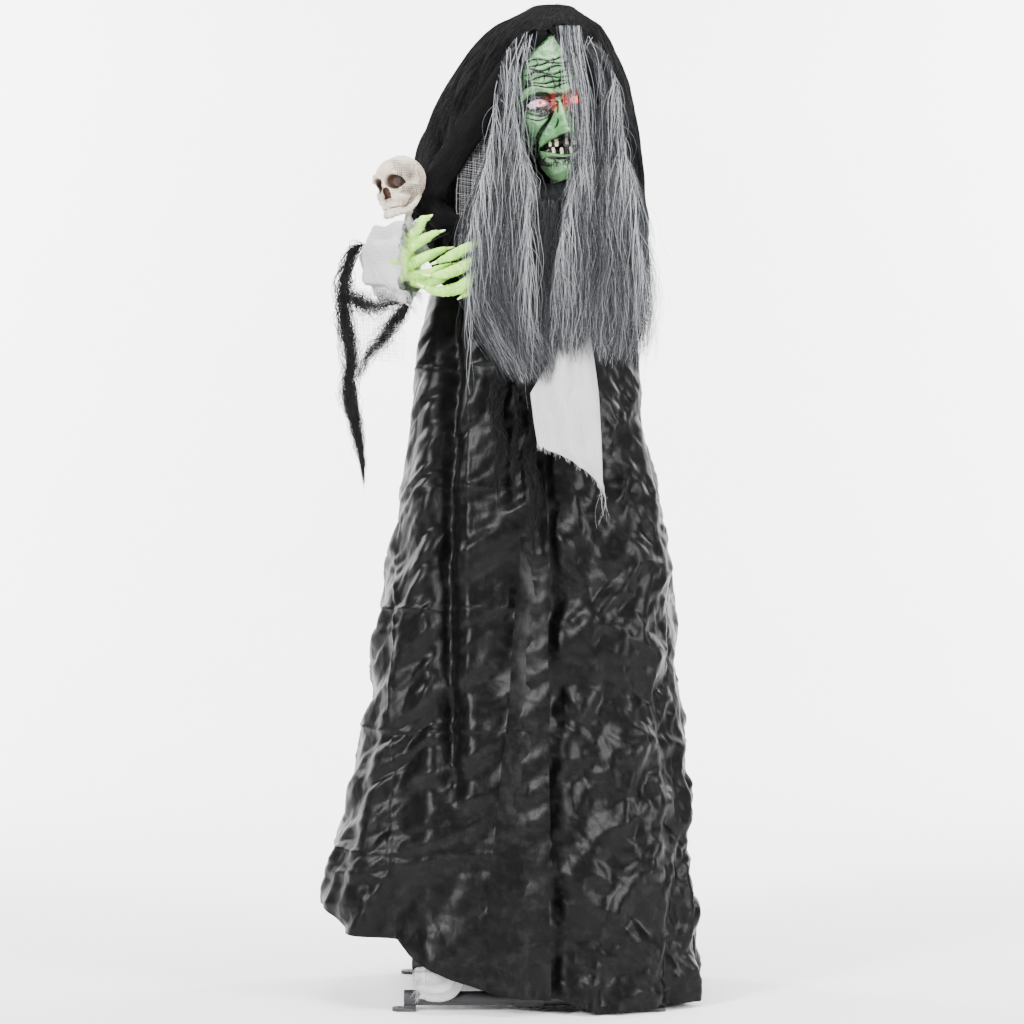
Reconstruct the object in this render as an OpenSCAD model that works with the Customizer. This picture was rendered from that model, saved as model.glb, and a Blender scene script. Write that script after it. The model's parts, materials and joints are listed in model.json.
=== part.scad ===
// Animated witch figure for a porch or a garden.
// A steel stand carries a geared head unit, a robe, a shawl, a wig and two jointed arms;
// the right arm holds up a skull. Millimetres, +Z up, -Y is the front.
// The origin is on the floor, in the middle of the robe's hem.

/* [Overall] */
// Floor to the top of the hood
figure_height = 1800; // [1450:10:2200]
// Top of the hood down to the shoulder bar
shoulder_drop = 380; // [360:5:420]
// Width of the robe at the hem
hem_width = 710; // [590:5:860]
// Depth of the robe at the hem
hem_depth = 540; // [510:5:650]
// Sideways place of the pole, measured from the middle of the hem
stand_x = 30; // [0:1:60]

/* [Stand] */
// Outer diameter of the base tubes and of the lower pole
tube_d = 25; // [20:0.5:30]
// Wall of every steel tube
tube_wall = 1.5; // [1:0.1:2]
// Extra bore, on the diameter, where one tube or fitting slides over another
slip_fit = 0.6; // [0.4:0.1:1]
// Wall of the moulded fittings
fitting_wall = 3; // [2.5:0.1:4]
// Height of the base tubes' axis over the floor
base_axis_z = 22; // [20:0.5:26]
// From the side of the hem in to a foot's stake hole
foot_inset_x = 127; // [120:1:140]
// From the front of the hem in to the base tube's axis
foot_inset_y = 75; // [70:1:85]
// Stake hole in each foot
stake_hole_d = 8; // [6:0.5:9]
// Thickness of the foot's floor plate
foot_plate = 6; // [5:0.5:7]
// Hip bar down to the top of the lower pole
lower_pole_drop = 40; // [40:5:140]
// Overlap of the upper pole inside the lower pole
pole_overlap = 120; // [80:5:160]
// Diameter of the locking button in the pole
button_d = 7; // [5:0.5:8]
// Diameter of the screws in the fittings
screw_d = 5; // [4:0.5:6]
// Shoulder bar down to the hip bar
hip_drop = 620; // [560:10:680]
// Diameter of the hip bar
hip_bar_d = 16; // [12:1:20]
// Length of the hip bar
hip_bar_length = 190; // [150:5:220]
// Diameter of the shoulder bar
shoulder_bar_d = 20; // [16:1:22]
// Length of the shoulder bar
shoulder_bar_length = 256; // [230:2:280]

/* [Cloth] */
// Thickness of the robe and the other plain cloth
cloth = 3; // [2:0.5:4]
// Thickness of the gauze hood and shawl
gauze = 4; // [3:0.5:5]
// Clear gap between the head's cloth and the cloth that stays still
turn_gap = 6; // [4:0.5:10]
// Height of the hem over the floor at its lowest, front right
hem_low = 6; // [5:1:15]
// Height of the hem where it is lifted, at the figure's right side
hem_high = 160; // [120:5:200]
// Shoulder bar down to the robe's top edge
robe_top_drop = 140; // [135:1:170]
// Depth of the robe's folds, as a share of its width
fold_depth = 0.022; // [0:0.002:0.04]

/* [Head] */
// Sideways place of the head's turning axis
head_x = 75; // [65:1:85]
// How far the head's turning axis stands in front of the pole
head_forward = 80; // [76:1:90]
// Eyes over the shoulder bar
eye_rise = 192; // [185:1:200]
// Half the width of the face
face_half = 75; // [68:1:80]
// Thickness of the moulded head
mask_wall = 3; // [2:0.5:3]
// Spacing between the eyes
eye_spacing = 66; // [58:1:72]
// Diameter of the opening over each eye
eye_hole_d = 25; // [20:1:28]
// Diameter of each eyeball
eyeball_d = 29; // [27:1:31]
// Sideways lean of the head
head_lean = 7; // [0:1:10]
// How far the face looks to the figure's left
head_look = 8; // [0:1:12]

/* [Head drive] */
// Diameter of the neck shaft
neck_d = 12; // [10:0.5:14]
// Running clearance, on the diameter, of every turning shaft
running_fit = 0.7; // [0.5:0.1:1]
// Size of the gear teeth
gear_module = 1.25; // [1:0.05:1.3]
// Teeth on the neck gear
neck_teeth = 56; // [48:4:56]
// Teeth on the motor pinion
pinion_teeth = 14; // [12:2:14]
// Thinning of each tooth so that the gears turn freely
tooth_backlash = 0.5; // [0.4:0.1:0.7]
// Width of both gears
gear_width = 6; // [5:0.5:8]
// Width of the mechanism case
case_width = 126; // [120:1:140]
// Depth of the mechanism case
case_depth = 84; // [80:1:88]
// Height of the mechanism case
case_height = 140; // [136:1:150]
// Wall of the mechanism case
case_wall = 2.5; // [2:0.1:3]
// Shoulder bar down to the top of the case
case_drop = 20; // [16:1:24]
// Diameter of the gear motor
motor_d = 26; // [20:1:27]
// Length of the gear motor
motor_length = 46; // [36:1:50]
// Diameter of a battery cell
cell_d = 14.5; // [10:0.1:14.5]
// Length of a battery cell
cell_length = 50.5; // [44:0.5:50.5]
// Gap on every side of the sliding door and the switch
slide_gap = 0.5; // [0.4:0.1:0.8]

/* [Arms] */
// Diameter of the arm tubes
arm_d = 16; // [12:1:18]
// Diameter of the pivot bolts at the shoulders
pivot_d = 8; // [6:0.5:9]
// Thickness of the arm's pivot eye
eye_thick = 13; // [10:0.5:14]
// Right elbow, measured from the point over the origin at shoulder height
right_elbow = [-240, -110, -85]; // [-300:1:300]
// Right wrist, measured the same way
right_wrist = [-200, -188, -95]; // [-300:1:300]
// Left elbow, measured the same way
left_elbow = [215, -150, -120]; // [-300:1:300]
// Left wrist, measured the same way
left_wrist = [-6, -230, -104]; // [-300:1:300]
// Middle of the skull, measured the same way
skull_middle = [-202, -152, 54]; // [-300:1:300]
// Radius of the skull's dome
skull_r = 44; // [40:0.5:46]

/* [Hidden] */
$fn = 48;
eps = 0.05;
shoulder_z = figure_height - shoulder_drop;
hip_z = shoulder_z - hip_drop;
lower_pole_top = hip_z - lower_pole_drop;
tube_r = tube_d / 2;
fit_r = tube_r + slip_fit / 2;
fitting_r = fit_r + fitting_wall;
upper_r = tube_r - tube_wall - slip_fit / 2;
foot_x = hem_width / 2 - foot_inset_x;
foot_y = hem_depth / 2 - foot_inset_y;
screw_clear = 0.4;
pole_bottom = base_axis_z + fitting_r;
upper_pole_top = shoulder_z - shoulder_bar_d / 2 - 2;
button_z = lower_pole_top - pole_overlap / 2;
bar_r = shoulder_bar_d / 2;
bar_mid_x = stand_x + 10;
head_y = -head_forward;
pinion_x = head_x - gear_module * (neck_teeth + pinion_teeth) / 2;
case_top = -case_drop;
case_bottom = case_top - case_height;
case_rear = head_y + case_depth / 2;
case_front_y = head_y - case_depth / 2;
shelf_z = case_top - 42;
gear_z = shelf_z + 13;
neck_fit_r = (neck_d + running_fit) / 2;
bush_r = neck_d / 2 + 4;
pivot_y = -29;
arm_r = arm_d / 2;
split_low = 51 - turn_gap;
split_high = 183;

// ---------- small helpers ----------
function unit(v) = v / norm(v);
function mix(a, b, t) = a + (b - a) * t;
function ease(t) = let (c = max(0, min(1, t))) c * c * (3 - 2 * c);
function bump(d, w) = exp(-(d / w) * (d / w));
function arc_power(c, p) = sign(c) * pow(abs(c), p);

// A smooth curve through a list of points; a fourth number, such as a radius, is carried along.
function spline(p, steps) = let (n = len(p))
  [for (i = [0:n - 2]) for (k = [0:steps - 1])
      let (t = k / steps, a = p[max(i - 1, 0)], b = p[i], c = p[i + 1], d = p[min(i + 2, n - 1)])
      0.5 * (2 * b + (c - a) * t + (2 * a - 5 * b + 4 * c - d) * t * t
        + (3 * b - a - 3 * c + d) * t * t * t),
    p[n - 1]];

// Rings along a curve of [x, y, z, radius]; flat is the ring's second radius over its first.
function rings(path, sides, ref, flat = 1) = let (n = len(path))
  [for (i = [0:n - 1])
      let (q = path[min(i + 1, n - 1)] - path[max(i - 1, 0)],
        d = unit([q[0], q[1], q[2]]), u = unit(cross(ref, d)), v = cross(d, u),
        c = [path[i][0], path[i][1], path[i][2]], r = path[i][3])
      [for (k = [0:sides - 1]) let (a = -360 * k / sides) c + r * cos(a) * u + r * flat * sin(a) * v]];

function grid_normal(g, i, j, closed) = let (n = len(g), m = len(g[0]),
    down = g[min(i + 1, n - 1)][j] - g[max(i - 1, 0)][j],
    along = closed ? g[i][(j + 1) % m] - g[i][(j + m - 1) % m]
      : g[i][min(j + 1, m - 1)] - g[i][max(j - 1, 0)])
  unit(cross(down, along));

// A sheet of even thickness whose outer face is the grid g; closed joins its last column to its first.
module sheet(g, thick, closed = false) {
  n = len(g);
  m = len(g[0]);
  inner = [for (i = [0:n - 1]) [for (j = [0:m - 1]) g[i][j] - thick * grid_normal(g, i, j, closed)]];
  points = [for (row = g) each row, for (row = inner) each row];
  last = closed ? m - 1 : m - 2;
  skin = [for (i = [0:n - 2]) for (j = [0:last])
      let (a = i * m + j, b = i * m + (j + 1) % m, c = a + m, d = b + m, s = n * m)
      each [[a, b, d], [a, d, c], [a + s, d + s, b + s], [a + s, c + s, d + s]]];
  rims = [for (j = [0:last])
      let (k = (j + 1) % m, s = n * m, e = (n - 1) * m)
      each [[k, j, j + s], [k, j + s, k + s], [e + j, e + k, e + k + s], [e + j, e + k + s, e + j + s]]];
  sides = closed ? [] : [for (i = [0:n - 2])
      let (a = i * m, b = a + m, c = a + m - 1, d = c + m, s = n * m)
      each [[a, b, b + s], [a, b + s, a + s], [d, c, c + s], [d, c + s, d + s]]];
  polyhedron(points, concat(skin, rims, sides), convexity = 10);
}

// A closed solid through a list of rings.
module lump(g) {
  n = len(g);
  m = len(g[0]);
  middle = [for (row = [g[0], g[n - 1]]) [for (k = [0:2]) let (s = [for (p = row) p[k]]) total(s) / m]];
  points = concat([for (row = g) each row], middle);
  skin = [for (i = [0:n - 2]) for (j = [0:m - 1])
      let (a = i * m + j, b = i * m + (j + 1) % m, c = a + m, d = b + m)
      each [[a, b, d], [a, d, c]]];
  ends = [for (j = [0:m - 1]) let (k = (j + 1) % m, e = (n - 1) * m)
      each [[n * m, k, j], [n * m + 1, e + j, e + k]]];
  polyhedron(points, concat(skin, ends), convexity = 10);
}

function total(list, i = 0) = i >= len(list) ? 0 : list[i] + total(list, i + 1);

// A straight rod from p to q.
module rod(p, q, r) {
  d = q - p;
  translate(p) rotate([0, acos(d[2] / norm(d)), atan2(d[1], d[0])]) cylinder(h = norm(d), r = r);
}

module tube_x(x0, x1, y, z, ro, ri) {
  translate([x0, y, z]) rotate([0, 90, 0]) difference() {
    cylinder(h = x1 - x0, r = ro);
    translate([0, 0, -1]) cylinder(h = x1 - x0 + 2, r = ri);
  }
}

module drill_x(x0, x1, y, z, r) translate([x0, y, z]) rotate([0, 90, 0]) cylinder(h = x1 - x0, r = r);
module drill_y(x, y0, y1, z, r) translate([x, y0, z]) rotate([-90, 0, 0]) cylinder(h = y1 - y0, r = r);
module drill_z(x, y, z0, z1, r) translate([x, y, z0]) cylinder(h = z1 - z0, r = r);

// ---------- stand ----------
// Screws that hold the fittings: those in the base stand upright, those in the pole lie level
pole_screw_z = base_axis_z + 62;
tee_screw_z = shoulder_z - 34;
screw_list = [for (y = [-foot_y, foot_y, -foot_y + 34, foot_y - 34]) [stand_x, y]];

module screw_holes(r) {
  for (s = screw_list) drill_z(s[0], s[1], base_axis_z + 5, base_axis_z + fitting_r + 5, r);
  drill_x(stand_x - fitting_r - 5, stand_x - 5, 0, pole_screw_z, r);
  drill_x(stand_x - fitting_r - 5, stand_x - 5, 0, tee_screw_z, r);
}

module base_front_tube() color("#1b1b1d") base_tube(-foot_y);
module base_rear_tube() color("#1b1b1d") base_tube(foot_y);
module base_tube(y) difference() {
  tube_x(stand_x - foot_x + 12, stand_x + foot_x - 12, y, base_axis_z, tube_r, tube_r - tube_wall);
  screw_holes(screw_d / 2 + screw_clear / 2);
}

spine_end = foot_y - tube_r - 2;
module base_spine_tube() color("#1b1b1d") difference() {
  translate([stand_x, -spine_end, base_axis_z]) rotate([-90, 0, 0]) difference() {
    cylinder(h = 2 * spine_end, r = tube_r);
    translate([0, 0, -1]) cylinder(h = 2 * spine_end + 2, r = tube_r - tube_wall);
  }
  screw_holes(screw_d / 2 + screw_clear / 2);
}

// Two moulded tees that join the spine tube to the front and rear tubes
tee_half = 26;
tee_reach = 48;
module base_tees() color("#26262a") for (side = [-1, 1]) difference() {
  union() {
    drill_x(stand_x - tee_half, stand_x + tee_half, side * foot_y, base_axis_z, fitting_r);
    drill_y(stand_x, side > 0 ? foot_y - tee_reach : -foot_y, side > 0 ? foot_y : -foot_y + tee_reach,
      base_axis_z, fitting_r);
  }
  drill_x(stand_x - tee_half - 1, stand_x + tee_half + 1, side * foot_y, base_axis_z, fit_r);
  drill_y(stand_x, side > 0 ? foot_y - tee_reach - 1 : -spine_end - 1,
    side > 0 ? spine_end + 1 : -foot_y + tee_reach + 1, base_axis_z, fit_r);
  screw_holes(screw_d / 2 + screw_clear / 2);
}

socket_height = 70;
module pole_socket() color("#26262a") difference() {
  union() {
    drill_y(stand_x, -tee_half, tee_half, base_axis_z, fitting_r);
    drill_z(stand_x, 0, base_axis_z, pole_bottom + socket_height, fitting_r);
  }
  drill_y(stand_x, -tee_half - 1, tee_half + 1, base_axis_z, fit_r);
  drill_z(stand_x, 0, pole_bottom - 1, pole_bottom + socket_height + 1, fit_r);
  screw_holes(screw_d / 2 + screw_clear / 2);
}

// Four end caps with a floor plate and a hole for a ground stake
cap_length = 24;
tab_reach = 9;
module foot_pads() color("#202022") for (sx = [-1, 1]) for (sy = [-1, 1])
  translate([stand_x + sx * foot_x, sy * foot_y, 0]) mirror([sx < 0 ? 1 : 0, 0, 0]) difference() {
    union() {
      translate([-cap_length - 4, 0, base_axis_z]) rotate([0, 90, 0]) cylinder(h = cap_length - 3, r = fit_r + 2);
      translate([-cap_length - 4, -9, 0]) cube([cap_length - 3, 18, base_axis_z - tube_r + 2]);
      translate([-cap_length - 4, -14, 0]) cube([cap_length + 4, 28, foot_plate]);
      translate([0, 0, 0]) cylinder(h = foot_plate, r = 14);
    }
    translate([-cap_length - 5, 0, base_axis_z]) rotate([0, 90, 0]) cylinder(h = cap_length - 6, r = fit_r);
    translate([0, 0, -1]) cylinder(h = foot_plate + 2, d = stake_hole_d);
  }

module lower_pole() color("#1b1b1d") difference() {
  drill_z(stand_x, 0, pole_bottom, lower_pole_top, tube_r);
  drill_z(stand_x, 0, pole_bottom - 1, lower_pole_top + 1, tube_r - tube_wall);
  screw_holes(screw_d / 2 + screw_clear / 2);
  drill_y(stand_x, -tube_r - 1, 0, button_z, button_d / 2 + slide_gap);
}

module upper_pole() color("#2a2a2d") difference() {
  drill_z(stand_x, 0, lower_pole_top - pole_overlap, upper_pole_top, upper_r);
  drill_z(stand_x, 0, lower_pole_top - pole_overlap - 1, upper_pole_top + 1, upper_r - tube_wall);
  drill_y(stand_x, -tube_r - 1, 0, button_z, button_d / 2 + slide_gap);
  screw_holes(screw_d / 2 + screw_clear / 2);
}

// Stepped collar that closes the gap at the top of the lower pole
collar_height = 36;
module pole_collar() color("#26262a") difference() {
  drill_z(stand_x, 0, lower_pole_top - collar_height / 2, lower_pole_top + collar_height / 2, fitting_r);
  drill_z(stand_x, 0, lower_pole_top - collar_height / 2 - 1, lower_pole_top + 1, fit_r);
  drill_z(stand_x, 0, lower_pole_top, lower_pole_top + collar_height, upper_r + slip_fit / 2);
}

// Sprung locking button; its domed end stands out of the lower pole
button_travel = 5;
module pole_button() color("#b9bcc2") {
  drill_y(stand_x, -tube_r - 1.5, -tube_r + 8, button_z, button_d / 2);
  translate([stand_x, -tube_r - 1.5, button_z]) sphere(r = button_d / 2);
}

module hip_bar() color("#1b1b1d")
  tube_x(stand_x - hip_bar_length / 2, stand_x + hip_bar_length / 2, -hip_offset, hip_z,
    hip_bar_d / 2, hip_bar_d / 2 - tube_wall);

hip_offset = upper_r + slip_fit + fitting_wall + hip_bar_d / 2;
module hip_clamp() color("#26262a") difference() {
  union() {
    drill_z(stand_x, 0, hip_z - 20, hip_z + 20, upper_r + slip_fit / 2 + fitting_wall);
    translate([stand_x - 14, -hip_offset - hip_bar_d / 2 - fitting_wall, hip_z - hip_bar_d / 2 - fitting_wall])
      cube([28, hip_offset + hip_bar_d / 2 + fitting_wall, hip_bar_d + 2 * fitting_wall]);
  }
  drill_z(stand_x, 0, hip_z - 21, hip_z + 21, upper_r + slip_fit / 2);
  drill_x(stand_x - 15, stand_x + 15, -hip_offset, hip_z, hip_bar_d / 2 + slip_fit / 2);
}

// Fitting at the top of the pole: it carries the shoulder bar and the mechanism case
tee_drop = 50;
module shoulder_tee() color("#26262a") difference() {
  union() {
    drill_z(stand_x, 0, shoulder_z - tee_drop, shoulder_z, upper_r + slip_fit / 2 + fitting_wall);
    drill_x(stand_x - 30, stand_x + 30, 0, shoulder_z, bar_r + slip_fit / 2 + fitting_wall);
    translate([stand_x - 10, case_rear + slide_gap, shoulder_z - tee_drop]) cube([20, -case_rear, 34]);
    translate([stand_x - 15, case_rear + slide_gap, shoulder_z - tee_drop - 6]) cube([30, 4, 40]);
  }
  drill_z(stand_x, 0, shoulder_z - tee_drop - 1, shoulder_z - bar_r - 1, upper_r + slip_fit / 2);
  drill_x(stand_x - 31, stand_x + 31, 0, shoulder_z, bar_r + slip_fit / 2);
  screw_holes(screw_d / 2 + screw_clear / 2);
}

module shoulder_bar() color("#1b1b1d")
  tube_x(bar_mid_x - shoulder_bar_length / 2, bar_mid_x + shoulder_bar_length / 2, 0, shoulder_z,
    bar_r, bar_r - tube_wall);

// End brackets of the shoulder bar; a boss at the front takes the pivot bolt
boss_y = bar_r + 12;
bracket_length = 24;
function bracket_x(side) = bar_mid_x + side * (shoulder_bar_length / 2 - bracket_length / 2);
module shoulder_brackets() color("#26262a") for (side = [-1, 1]) difference() {
  union() {
    drill_x(bracket_x(side) - bracket_length / 2, bracket_x(side) + bracket_length / 2, 0, shoulder_z,
      bar_r + slip_fit / 2 + fitting_wall);
    drill_y(bracket_x(side), -boss_y, 0, shoulder_z, bracket_length / 2 - 1);
  }
  drill_x(bracket_x(side) - bracket_length / 2 - 1, bracket_x(side) + bracket_length / 2 + 1, 0, shoulder_z,
    bar_r + slip_fit / 2);
  drill_y(bracket_x(side), -boss_y - 1, -bar_r - 1, shoulder_z, pivot_d / 2 + screw_clear / 2);
}

eye_front = -boss_y - slide_gap - eye_thick;
module pivot_bolts() color("#8e9298") for (side = [-1, 1]) {
  drill_y(bracket_x(side), eye_front - slide_gap - 1, -bar_r - 2, shoulder_z, pivot_d / 2);
  drill_y(bracket_x(side), eye_front - slide_gap - 5, eye_front - slide_gap, shoulder_z, pivot_d);
}

module frame_screws() color("#8e9298") {
  for (s = screw_list) {
    drill_z(s[0], s[1], base_axis_z + tube_r - tube_wall - 3, base_axis_z + fitting_r + 1, screw_d / 2);
    drill_z(s[0], s[1], base_axis_z + fitting_r + 0.3, base_axis_z + fitting_r + 3.5, screw_d * 0.9);
  }
  for (z = [pole_screw_z, tee_screw_z]) {
    r = z == pole_screw_z ? fitting_r : upper_r + slip_fit / 2 + fitting_wall;
    drill_x(stand_x - r - 1, stand_x - upper_r + tube_wall + 2, 0, z, screw_d / 2);
    drill_x(stand_x - r - 3.5, stand_x - r - 0.3, 0, z, screw_d * 0.9);
  }
}

// ---------- clothes that stay still ----------
// How far the robe's sides have come in from the hem's sides, by height under the robe's top edge
robe_left_in = [[0, 210], [94, 188], [262, 164], [374, 143], [486, 127], [589, 103], [737, 86], [875, 50],
  [1013, 18], [1100, 0], [1700, 0]];
robe_right_in = [[0, 118], [63, 114], [173, 106], [282, 98], [346, 86], [470, 62], [553, 50], [674, 48],
  [737, 40], [854, 28], [946, 14], [1050, 8], [1150, 0], [1700, 0]];
robe_front_in = [[0, 125], [180, 104], [380, 80], [680, 52], [980, 20], [1180, 5], [1260, 0], [1700, 0]];
// Length of robe that the three lists above are drawn for; a longer robe stretches them
robe_table_length = 1274;
robe_rows = 20;
robe_columns = 44;

// Height of the hem round the robe: 0 is the figure's left, 180 its right, 270 the front
function hem_z(a) = let (c = cos(a), s = sin(a))
  hem_low + (hem_high - hem_low) * pow(max(0, (1 - c) / 2), 2.2) * (s < 0 ? 1 : mix(1, 0.8, s))
    + (s > 0 ? 12 * s : 0);

function robe_point(a, t) = let (
    top = shoulder_z - robe_top_drop + 20 * (1 + cos(a)) / 2,
    z = mix(top, hem_z(a), t),
    drop = (shoulder_z - robe_top_drop - z) * robe_table_length / (shoulder_z - robe_top_drop - hem_low),
    left = -hem_width / 2 + lookup(drop, robe_left_in),
    right = hem_width / 2 - lookup(drop, robe_right_in),
    deep = hem_depth / 2 - lookup(drop, robe_front_in),
    fold = 1 - fold_depth * ease(t * 2) * (1 - cos(12 * a)),
    p = mix(0.86, 0.62, ease(t)))
  [(left + right) / 2 + (right - left) / 2 * fold * arc_power(cos(a), p),
    -5 * (1 - t) + deep * fold * arc_power(sin(a), p), z];

module robe() color("#17171a") sheet([for (i = [0:robe_rows])
    [for (j = [0:robe_columns - 1]) robe_point(360 * j / robe_columns, i / robe_rows)]], cloth, true);

// Loose leg covers hang from the hip bar and are drawn over the ends of the front base tube
cover_gap = 2;
cap_clearance = 12;
ankle_x = 150;
cover_end = foot_x - cap_length - cap_clearance;
cover_top_x = fitting_r + cover_gap + 53;
cover_path = [[cover_top_x, -16, hip_z - hip_bar_d / 2 - 16, 36], [max(92, cover_top_x + 4), -60, hip_z * 0.62, 38],
  [126, -foot_y + 45, 200, 38], [142, -foot_y + 14, 96, 37], [ankle_x, -foot_y, 52, 34],
  [mix(ankle_x, cover_end, 0.714), -foot_y, base_axis_z + 11, 29], [cover_end, -foot_y, base_axis_z + 10, 28]];
module leg_cover() difference() {
  sheet(rings(spline(cover_path, 3), 14, [0, 1, 0]), cloth, true);
  drill_x(0, cover_end + 30, -foot_y, base_axis_z, tube_r + cover_gap);
}
module right_leg_cover() color("#c9c9ca") translate([stand_x, 0, 0]) mirror([1, 0, 0]) leg_cover();
module left_leg_cover() color("#c9c9ca") translate([stand_x, 0, 0]) leg_cover();

// Shawl: the lower part of the gauze hood, open at the front. Offsets are from the shoulder bar.
shawl_left = [[-200, 215], [60, 212], [100, 205], [split_high, 170]];
shawl_right = [[-200, 226], [-110, 222], [-70, 212], [0, 216], [80, 206], [split_high, 183]];
shawl_back = [[-200, 170], [-110, 160], [60, 128], [split_high, 98]];
shawl_from = -39;
shawl_to = 238;
shawl_columns = 30;
shawl_rows = 10;
function shawl_bottom(a) = a < 0 ? -78 : a < 90 ? mix(-78, -178, ease(a / 90))
  : a < 180 ? mix(-178, 62, ease((a - 90) / 90)) : mix(62, 44, (a - 180) / 58);
function shawl_point(a, t) = let (
    z = mix(split_high - turn_gap, shawl_bottom(a), t),
    w = cos(a) < 0 ? lookup(z, shawl_left) : lookup(z, shawl_right),
    d = sin(a) < 0 ? 112 : lookup(z, shawl_back),
    r = 1 - 0.008 * ease(t * 2) * (1 - cos(10 * a)))
  [stand_x + w * r * arc_power(cos(a), 0.7), 8 + d * r * arc_power(sin(a), 0.9), shoulder_z + z];
module shawl() color("#1c1c1f") sheet([for (i = [0:shawl_rows])
    [for (j = [0:shawl_columns]) shawl_point(mix(shawl_from, shawl_to, j / shawl_columns), i / shawl_rows)]], gauze);

// Light net hanging between the hood and the hair
module net_panel() color("#8f9092") translate([0, 0, shoulder_z]) sheet([for (i = [0:8])
    let (t = i / 8) [for (j = [0:3]) let (s = j / 3)
      [mix(-84, -50, s) - 14 * t, -128 - 22 * t + 10 * s, mix(split_high - 20, -36, t)]]], cloth);

// Lower hair: a curtain down the front of the shoulders
hair_left_edge = [[-310, 72], [-235, 22], [-170, -44], [-90, -74], [split_low, -58]];
hair_right_edge = [[-310, 96], [-265, 150], [-228, 228], [-110, 228], [split_low, 196]];
hair_out = [[-310, -261], [-230, -266], [-90, -269], [split_low, -208]];
hair_bottom = -310;
hair_mid = 60;
hair_half = 170;
hair_bow = 15;
module hair_lower() color("#6d7075") translate([0, 0, shoulder_z]) sheet([for (i = [0:14])
    let (z = mix(split_low, hair_bottom, i / 14), l = lookup(z, hair_left_edge), r = lookup(z, hair_right_edge))
    [for (j = [0:14]) let (x = mix(l, r, j / 14), k = (x - hair_mid) / hair_half)
      [x, lookup(z, hair_out) + hair_bow * k * k - 1.5 * cos(360 * j / 3.5), z]]], gauze);

// Two narrow gauze strips down the front of the robe: [middle x, half width, top, bottom]
strip_list = [[-24, 17, -237, -515], [38, 20, -318, -620]];
strip_gap = 21;
function strip_y(z) = let (drop = -robe_top_drop - z)
  -hem_depth / 2 + lookup(drop, robe_front_in) - strip_gap;
module gauze_strips() color("#141416") translate([0, 0, shoulder_z]) for (s = strip_list)
  sheet([for (i = [0:12]) let (t = i / 12, z = mix(s[2], s[3], t), w = s[1] * (1 - 0.6 * t))
      [for (j = [0:2]) [s[0] + 5 * sin(540 * t) + w * (j - 1), strip_y(z), z]]], cloth);

// ---------- head drive ----------
module at_shoulder() translate([0, 0, shoulder_z]) children();

shelf_thick = 4;
boss_r = 4;
case_x0 = head_x - case_width / 2;
case_x1 = head_x + case_width / 2;
lid_screws = [[case_x0 + 7, case_top - 7], [case_x1 - 7, case_top - 7],
  [case_x0 + 7, case_bottom + 7], [case_x1 - 7, case_bottom + 7]];
box_x0 = head_x - 8;
box_width = 3 * (cell_d + 1) + 5;
box_height = cell_length + 8;
box_z0 = case_bottom + 8;
box_depth = cell_d + 5;
door_x0 = box_x0 - 3;
door_width = box_width + 6;
door_thick = 2.4;
door_travel = 55;
switch_z = case_bottom + 62;
switch_y = head_y + 6;
switch_travel = 6;

module case_body() color("#303034") at_shoulder() difference() {
  union() {
    difference() {
      translate([case_x0, case_front_y + case_wall, case_bottom])
        cube([case_width, case_depth - case_wall, case_height]);
      translate([case_x0 + case_wall, case_front_y, case_bottom + case_wall])
        cube([case_width - 2 * case_wall, case_depth - case_wall, case_height - 2 * case_wall]);
    }
    translate([case_x0 + 1, case_front_y + case_wall + 6, shelf_z])
      cube([case_width - 2, case_depth - case_wall - 7, shelf_thick]);
    for (p = lid_screws) drill_y(p[0], case_front_y + case_wall, case_rear - 1, p[1], boss_r);
    drill_z(head_x, head_y, case_top - 5, case_top + 3, bush_r + 3);
    // door rails
    for (x = [door_x0 - slide_gap - 3, door_x0 + door_width + slide_gap])
      translate([x, case_rear - 1, case_bottom]) cube([3, door_thick + 2 * slide_gap + 3, box_height + 12]);
    for (x = [door_x0 - slide_gap - 3, door_x0 + door_width + slide_gap - 3])
      translate([x, case_rear + door_thick + 2 * slide_gap, case_bottom]) cube([6, 2, box_height + 12]);
  }
  drill_z(head_x, head_y, case_top - 6, case_top + 4, bush_r);
  drill_z(head_x, head_y, shelf_z - 1, shelf_z + shelf_thick + 1, bush_r);
  drill_z(pinion_x, head_y, shelf_z - 1, shelf_z + shelf_thick + 1, 5);
  translate([box_x0, case_rear - 4, box_z0]) cube([box_width, 6, box_height]);
  for (p = lid_screws) drill_y(p[0], case_front_y, case_front_y + 18, p[1], 1.5);
  translate([case_x1 - 4, switch_y - 3, switch_z - 3]) cube([6, 6, 6 + switch_travel]);
}

speaker_x = head_x + 26;
speaker_z = case_bottom + 42;
speaker_r = 24;
module case_front() color("#303034") at_shoulder() difference() {
  translate([case_x0, case_front_y, case_bottom]) cube([case_width, case_wall - 0.3, case_height]);
  for (p = lid_screws) drill_y(p[0], case_front_y - 1, case_front_y + 4, p[1], 1.7);
  drill_y(speaker_x, case_front_y - 1, case_front_y + 4, speaker_z, 2.4);
  for (ring = [[9, 6], [16, 12]]) for (k = [0:ring[1] - 1])
    drill_y(speaker_x + ring[0] * cos(360 * k / ring[1]), case_front_y - 1, case_front_y + 4,
      speaker_z + ring[0] * sin(360 * k / ring[1]), 2.2);
}

module case_screws() color("#a4a8ae") at_shoulder() for (p = lid_screws) {
  drill_y(p[0], case_front_y - 0.5, case_front_y + 14, p[1], 1.3);
  drill_y(p[0], case_front_y - 2.4, case_front_y - 0.3, p[1], 2.8);
}

module speaker() color("#1d1d1f") at_shoulder() union() {
  drill_y(speaker_x, case_front_y + case_wall + 0.3, case_front_y + case_wall + 5, speaker_z, speaker_r);
  drill_y(speaker_x, case_front_y + case_wall + 4, case_front_y + case_wall + 14, speaker_z, speaker_r * 0.55);
}

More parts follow.
